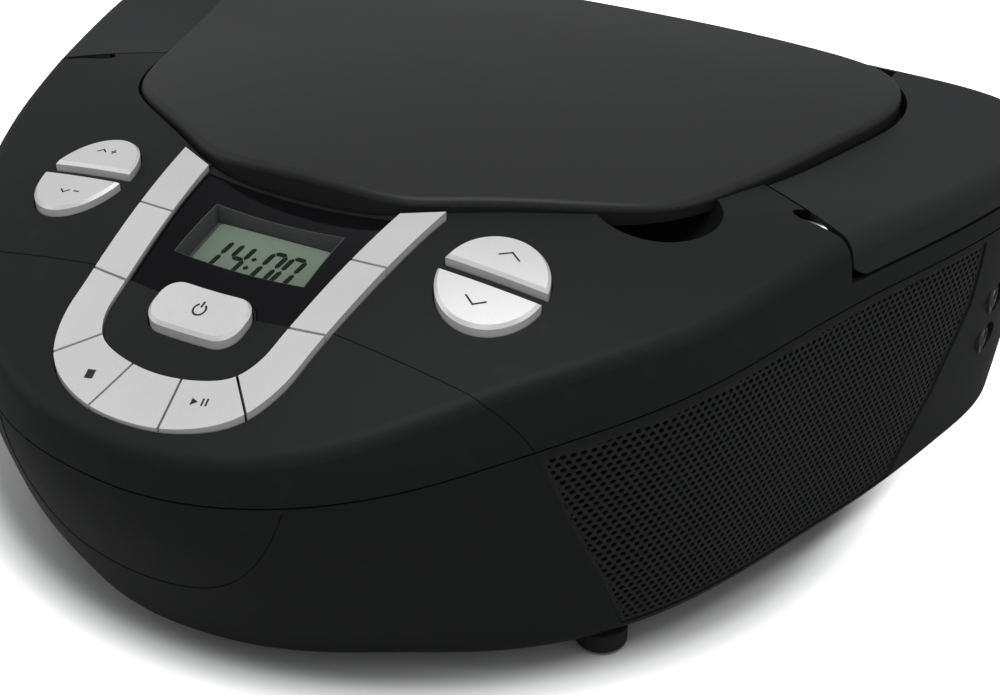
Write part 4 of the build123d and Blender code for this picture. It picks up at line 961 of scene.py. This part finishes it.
class OBJECT_OT_disc_player_marks(bpy.types.Operator):
    """Plain printed marks on the keys"""
    bl_idname = "object.disc_player_marks"
    bl_label = "Make key marks"

    def execute(self, context):
        put_mark(power_mark(), "power_key", (0.0, -86.9), 0)
        put_mark(plane("mark_stop", 2.0, 2.3), "key_front_left", (-14.4, -108.9), 12)
        put_mark(play_pause_mark(), "key_front_right", (14.4, -107.2), 12)
        put_mark(chevron("mark_up", 2.6, 0.42, True), "round_key_right_up", (58.2, -47.4), 3)
        put_mark(chevron("mark_down", 2.6, 0.42, False), "round_key_right_down", (57.6, -63.4), 3)
        put_mark(chevron("mark_more", 1.5, 0.36, True), "round_key_left_up", (-59.4, -47.2), -3)
        put_mark(plus_minus("mark_plus", True), "round_key_left_up", (-55.6, -47.4), -3)
        put_mark(chevron("mark_less", 1.5, 0.36, False), "round_key_left_down", (-58.6, -63.6), -3)
        put_mark(plus_minus("mark_minus", False), "round_key_left_down", (-54.8, -63.4), -3)
        return {"FINISHED"}


def surface_line(name, places, width, target):
    """Fine round line through five places in mm, sunk halfway into the surface of a CAD node, coloured as
    painted crease shade.
    """
    deselect()
    bpy.ops.curve.primitive_nurbs_path_add()
    line = added(name)
    spline = line.data.splines[0]
    for point, place in zip(spline.points, places):
        point.co = (*[value * MM for value in place], 1.0)
    spline.order_u = 3
    spline.use_endpoint_u = True
    spline.resolution_u = 24
    focus(line)
    bpy.ops.object.convert(target="MESH")
    line = bpy.context.object
    apply_modifier(line, "SHRINKWRAP", target=frame["nodes"][target], wrap_method="NEAREST_SURFACEPOINT")
    focus(line)
    bpy.ops.object.convert(target="CURVE")
    line = bpy.context.object
    line.data.bevel_depth = width * MM / 2
    line.data.bevel_resolution = 1
    line.data.use_fill_caps = True
    bpy.ops.object.convert(target="MESH")
    return finish_piece(outwards(added(name)), "housing", MADE["groove"])


class OBJECT_OT_disc_player_crease_shade(bpy.types.Operator):
    """Fine near-black lines on the top and on the front bowl, as painted crease shade"""
    bl_idname = "object.disc_player_seams"
    bl_label = "Make mould lines"

    def execute(self, context):
        width = context.scene.disc_player_sizes.mould_line / MM
        surface_line("front_bowl_line", BOWL_LINE, width, "lower_housing")
        for side, name in ((1, "right"), (-1, "left")):
            places = [(side * x, y, z) for x, y, z in SHOULDER_LINE]
            surface_line("shoulder_line_" + name, places, width, "upper_housing")
        return {"FINISHED"}


def turned_ring(name, inner, outer, height, steps=48, edge=0.15):
    """Ring with softened edges, built from a circle by extruding and insetting; sizes in mm, axis along Z."""
    deselect()
    bpy.ops.mesh.primitive_circle_add(vertices=steps, radius=outer * MM, fill_type="NGON")
    ring = added(name)
    focus(ring)
    edit()
    bpy.ops.mesh.select_all(action="SELECT")
    bpy.ops.mesh.inset(thickness=(outer - inner) * MM)
    bpy.ops.mesh.delete(type="FACE")
    bpy.ops.mesh.select_all(action="SELECT")
    bpy.ops.mesh.extrude_region_move(TRANSFORM_OT_translate={"value": (0, 0, height * MM)})
    done()
    outwards(ring)
    limit = math.radians(50)
    apply_modifier(ring, "BEVEL", width=edge * MM, segments=2, limit_method="ANGLE", angle_limit=limit)
    return smooth(ring)


class OBJECT_OT_disc_player_sockets(bpy.types.Operator):
    """Plated nuts round the two sockets"""
    bl_idname = "object.disc_player_sockets"
    bl_label = "Make socket nuts"

    def execute(self, context):
        for node in ("headphone_jack", "aux_jack"):
            low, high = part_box(node)
            nut = turned_ring("nut_" + node, 2.15, 2.8, 0.6, 36)
            middle = (Vector(low) + Vector(high)) / 2
            nut.rotation_euler = (0, math.radians(90), 0)
            nut.location = (Vector(high).x - 0.3 * MM, middle.y, middle.z)
            finish_piece(settle(nut), "housing", MADE["nut"])
        return {"FINISHED"}


class OBJECT_OT_disc_player_hub(bpy.types.Operator):
    """Rubber ring and spring balls of the disc hub, and the rim round the lens"""
    bl_idname = "object.disc_player_hub"
    bl_label = "Make hub details"

    def execute(self, context):
        low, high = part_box("turntable_hub")
        ring = turned_ring("hub_ring", 10.5, 14.4, 0.35)
        ring.location = HUB_RING_AT
        finish_piece(settle(ring), "turntable", MADE["ring"])
        balls = []
        for turn in (90, 210, 330):
            deselect()
            angle = math.radians(turn)
            x, y = HUB_BALL_CIRCLE * math.cos(angle), HUB_RING_AT[1] + HUB_BALL_CIRCLE * math.sin(angle)
            bpy.ops.mesh.primitive_uv_sphere_add(
                segments=20, ring_count=12, radius=HUB_BALL_RADIUS, location=(x, y, HUB_BALL_Z)
            )
            balls.append(smooth(settle(added("hub_ball")), 60))
        finish_piece(join(balls, "hub_balls"), "turntable", MADE["steel"])
        lens_low, lens_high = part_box("laser_lens")
        bezel = turned_ring("lens_bezel", 3.45, 4.4, 1.0)
        middle = (Vector(lens_low) + Vector(lens_high)) / 2
        bezel.location = (middle.x, middle.y, Vector(lens_low).z + 0.0004)
        finish_piece(settle(bezel), "sled", MADE["frame"])
        return {"FINISHED"}


class OBJECT_OT_disc_player_finishes(bpy.types.Operator):
    """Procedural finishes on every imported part"""
    bl_idname = "object.disc_player_finishes"
    bl_label = "Apply finishes"

    def execute(self, context):
        MADE.update(make_materials(context.scene.disc_player_look))
        for name, obj in frame["nodes"].items():
            material = MADE[slot_of(name)]
            if name == "lcd_module":
                material = MADE["bezel"]
            for slot in obj.material_slots:
                slot.material = material
            if not obj.material_slots:
                obj.data.materials.append(material)
        return {"FINISHED"}


def area_lamp(name, at, size, power):
    lamp = bpy.data.lights.new(name, "AREA")
    lamp.shape = "RECTANGLE"
    lamp.size, lamp.size_y = size
    lamp.energy = power
    obj = bpy.data.objects.new(name, lamp)
    bpy.context.scene.collection.objects.link(obj)
    obj.location = at
    obj.rotation_euler = (Vector(LAMP_TARGET) - Vector(at)).to_track_quat("-Z", "Y").to_euler()
    return obj


def make_world():
    world = bpy.data.worlds.new("Studio")
    bpy.context.scene.world = world
    world.use_nodes = True
    tree = world.node_tree
    back = tree.nodes["Background"]
    path = tree.nodes.new("ShaderNodeLightPath")
    seen = math_node(tree, "MAXIMUM", path.outputs["Is Camera Ray"], path.outputs["Is Transmission Ray"])
    colour = mix_colour(tree, seen, (0.36, 0.365, 0.375), (1.0, 1.0, 1.0))
    tree.links.new(colour, back.inputs["Color"])
    back.inputs["Strength"].default_value = 1.0


def ramp(tree, value, low, high):
    """Soft step from 0 to 1 between two values."""
    node = tree.nodes.new("ShaderNodeMapRange")
    node.interpolation_type = "SMOOTHSTEP"
    node.inputs["From Min"].default_value = low
    node.inputs["From Max"].default_value = high
    tree.links.new(value, node.inputs["Value"])
    return node.outputs["Result"]


def make_floor():
    deselect()
    bpy.ops.mesh.primitive_grid_add(x_subdivisions=24, y_subdivisions=24, size=6.0, location=(0, 0, -0.0002))
    floor = settle(added("studio_floor"))
    material, tree, shader = start_material("Studio floor")
    shader.inputs["Roughness"].default_value = 0.9
    shader.inputs["Specular IOR Level"].default_value = 0.1
    seen = tree.nodes.new("ShaderNodeLightPath").outputs["Is Camera Ray"]
    oval = tree.nodes.new("ShaderNodeMapping")
    oval.vector_type = "TEXTURE"
    oval.inputs["Location"].default_value = FLOOR_OVAL_MIDDLE
    oval.inputs["Scale"].default_value = FLOOR_OVAL_SIZE
    tree.links.new(tree.nodes.new("ShaderNodeTexCoord").outputs["Object"], oval.inputs["Vector"])
    away = tree.nodes.new("ShaderNodeVectorMath")
    away.operation = "LENGTH"
    tree.links.new(oval.outputs["Vector"], away.inputs[0])
    # Painted shadow: inside the first band the camera sees the floor darker, near the foot of the body.
    painted_shadow = ramp(tree, away.outputs["Value"], *FLOOR_PAINTED_SHADOW_BAND)
    past_painted_shadow = ramp(tree, away.outputs["Value"], *FLOOR_PAINTED_SHADOW_EDGE)
    floor_with_painted_shadow = mix_colour(tree, painted_shadow, (0.42, 0.42, 0.42), (0.84, 0.84, 0.84))
    tree.links.new(mix_colour(tree, seen, (0.35, 0.35, 0.35), floor_with_painted_shadow), shader.inputs["Base Color"])
    # Painted white: past the second band, emission lifts the floor to white, so the real shadow stops at this
    # painted edge.
    lift = math_node(tree, "MULTIPLY", seen, past_painted_shadow)
    shader.inputs["Emission Color"].default_value = (1.0, 1.0, 1.0, 1.0)
    tree.links.new(lift, shader.inputs["Emission Strength"])
    floor.data.materials.append(material)
    return floor


def make_camera():
    camera = bpy.data.cameras.new("Camera")
    camera.sensor_width = 36.0
    camera.lens = 57.84
    camera.clip_start = 0.01
    camera.clip_end = 20.0
    obj = bpy.data.objects.new("Camera", camera)
    bpy.context.scene.collection.objects.link(obj)
    obj.location = (0.20609, -0.32881, 0.26883)
    obj.rotation_euler = (math.radians(58.0), 0.0, math.radians(28.1668))
    bpy.context.scene.camera = obj


class OBJECT_OT_disc_player_stage(bpy.types.Operator):
    """Pale floor, soft lamps and the camera"""
    bl_idname = "object.disc_player_stage"
    bl_label = "Make stage"

    def execute(self, context):
        make_world()
        make_floor()
        make_camera()
        for name, place, size, power in LAMPS:
            area_lamp(name, place, size, power)
        context.scene.view_settings.view_transform = "Standard"
        return {"FINISHED"}


STEPS = (
    OBJECT_OT_disc_player_finishes, OBJECT_OT_disc_player_grilles, OBJECT_OT_disc_player_display,
    OBJECT_OT_disc_player_marks, OBJECT_OT_disc_player_crease_shade, OBJECT_OT_disc_player_sockets,
    OBJECT_OT_disc_player_hub, OBJECT_OT_disc_player_stage,
)


class VIEW3D_PT_disc_player(bpy.types.Panel):
    """Sizes, colours and steps of the disc player"""
    bl_label = "Disc player"
    bl_idname = "VIEW3D_PT_disc_player"
    bl_space_type = "VIEW_3D"
    bl_region_type = "UI"
    bl_category = "Disc player"

    def draw(self, context):
        for group in (context.scene.disc_player_sizes, context.scene.disc_player_look):
            box = self.layout.box()
            for name in group.__annotations__:
                box.prop(group, name)
        for step in STEPS:
            self.layout.operator(step.bl_idname)


def register():
    for cls in (DiscPlayerSizes, DiscPlayerLook, *STEPS, VIEW3D_PT_disc_player):
        bpy.utils.register_class(cls)
    bpy.types.Scene.disc_player_sizes = PointerProperty(type=DiscPlayerSizes)
    bpy.types.Scene.disc_player_look = PointerProperty(type=DiscPlayerLook)


def unregister():
    del bpy.types.Scene.disc_player_look
    del bpy.types.Scene.disc_player_sizes
    for cls in (VIEW3D_PT_disc_player, *reversed(STEPS), DiscPlayerLook, DiscPlayerSizes):
        bpy.utils.unregister_class(cls)


def main():
    register()
    for step in STEPS:
        group, name = step.bl_idname.split(".")
        getattr(getattr(bpy.ops, group), name)()


if __name__ == "__main__":
    main()
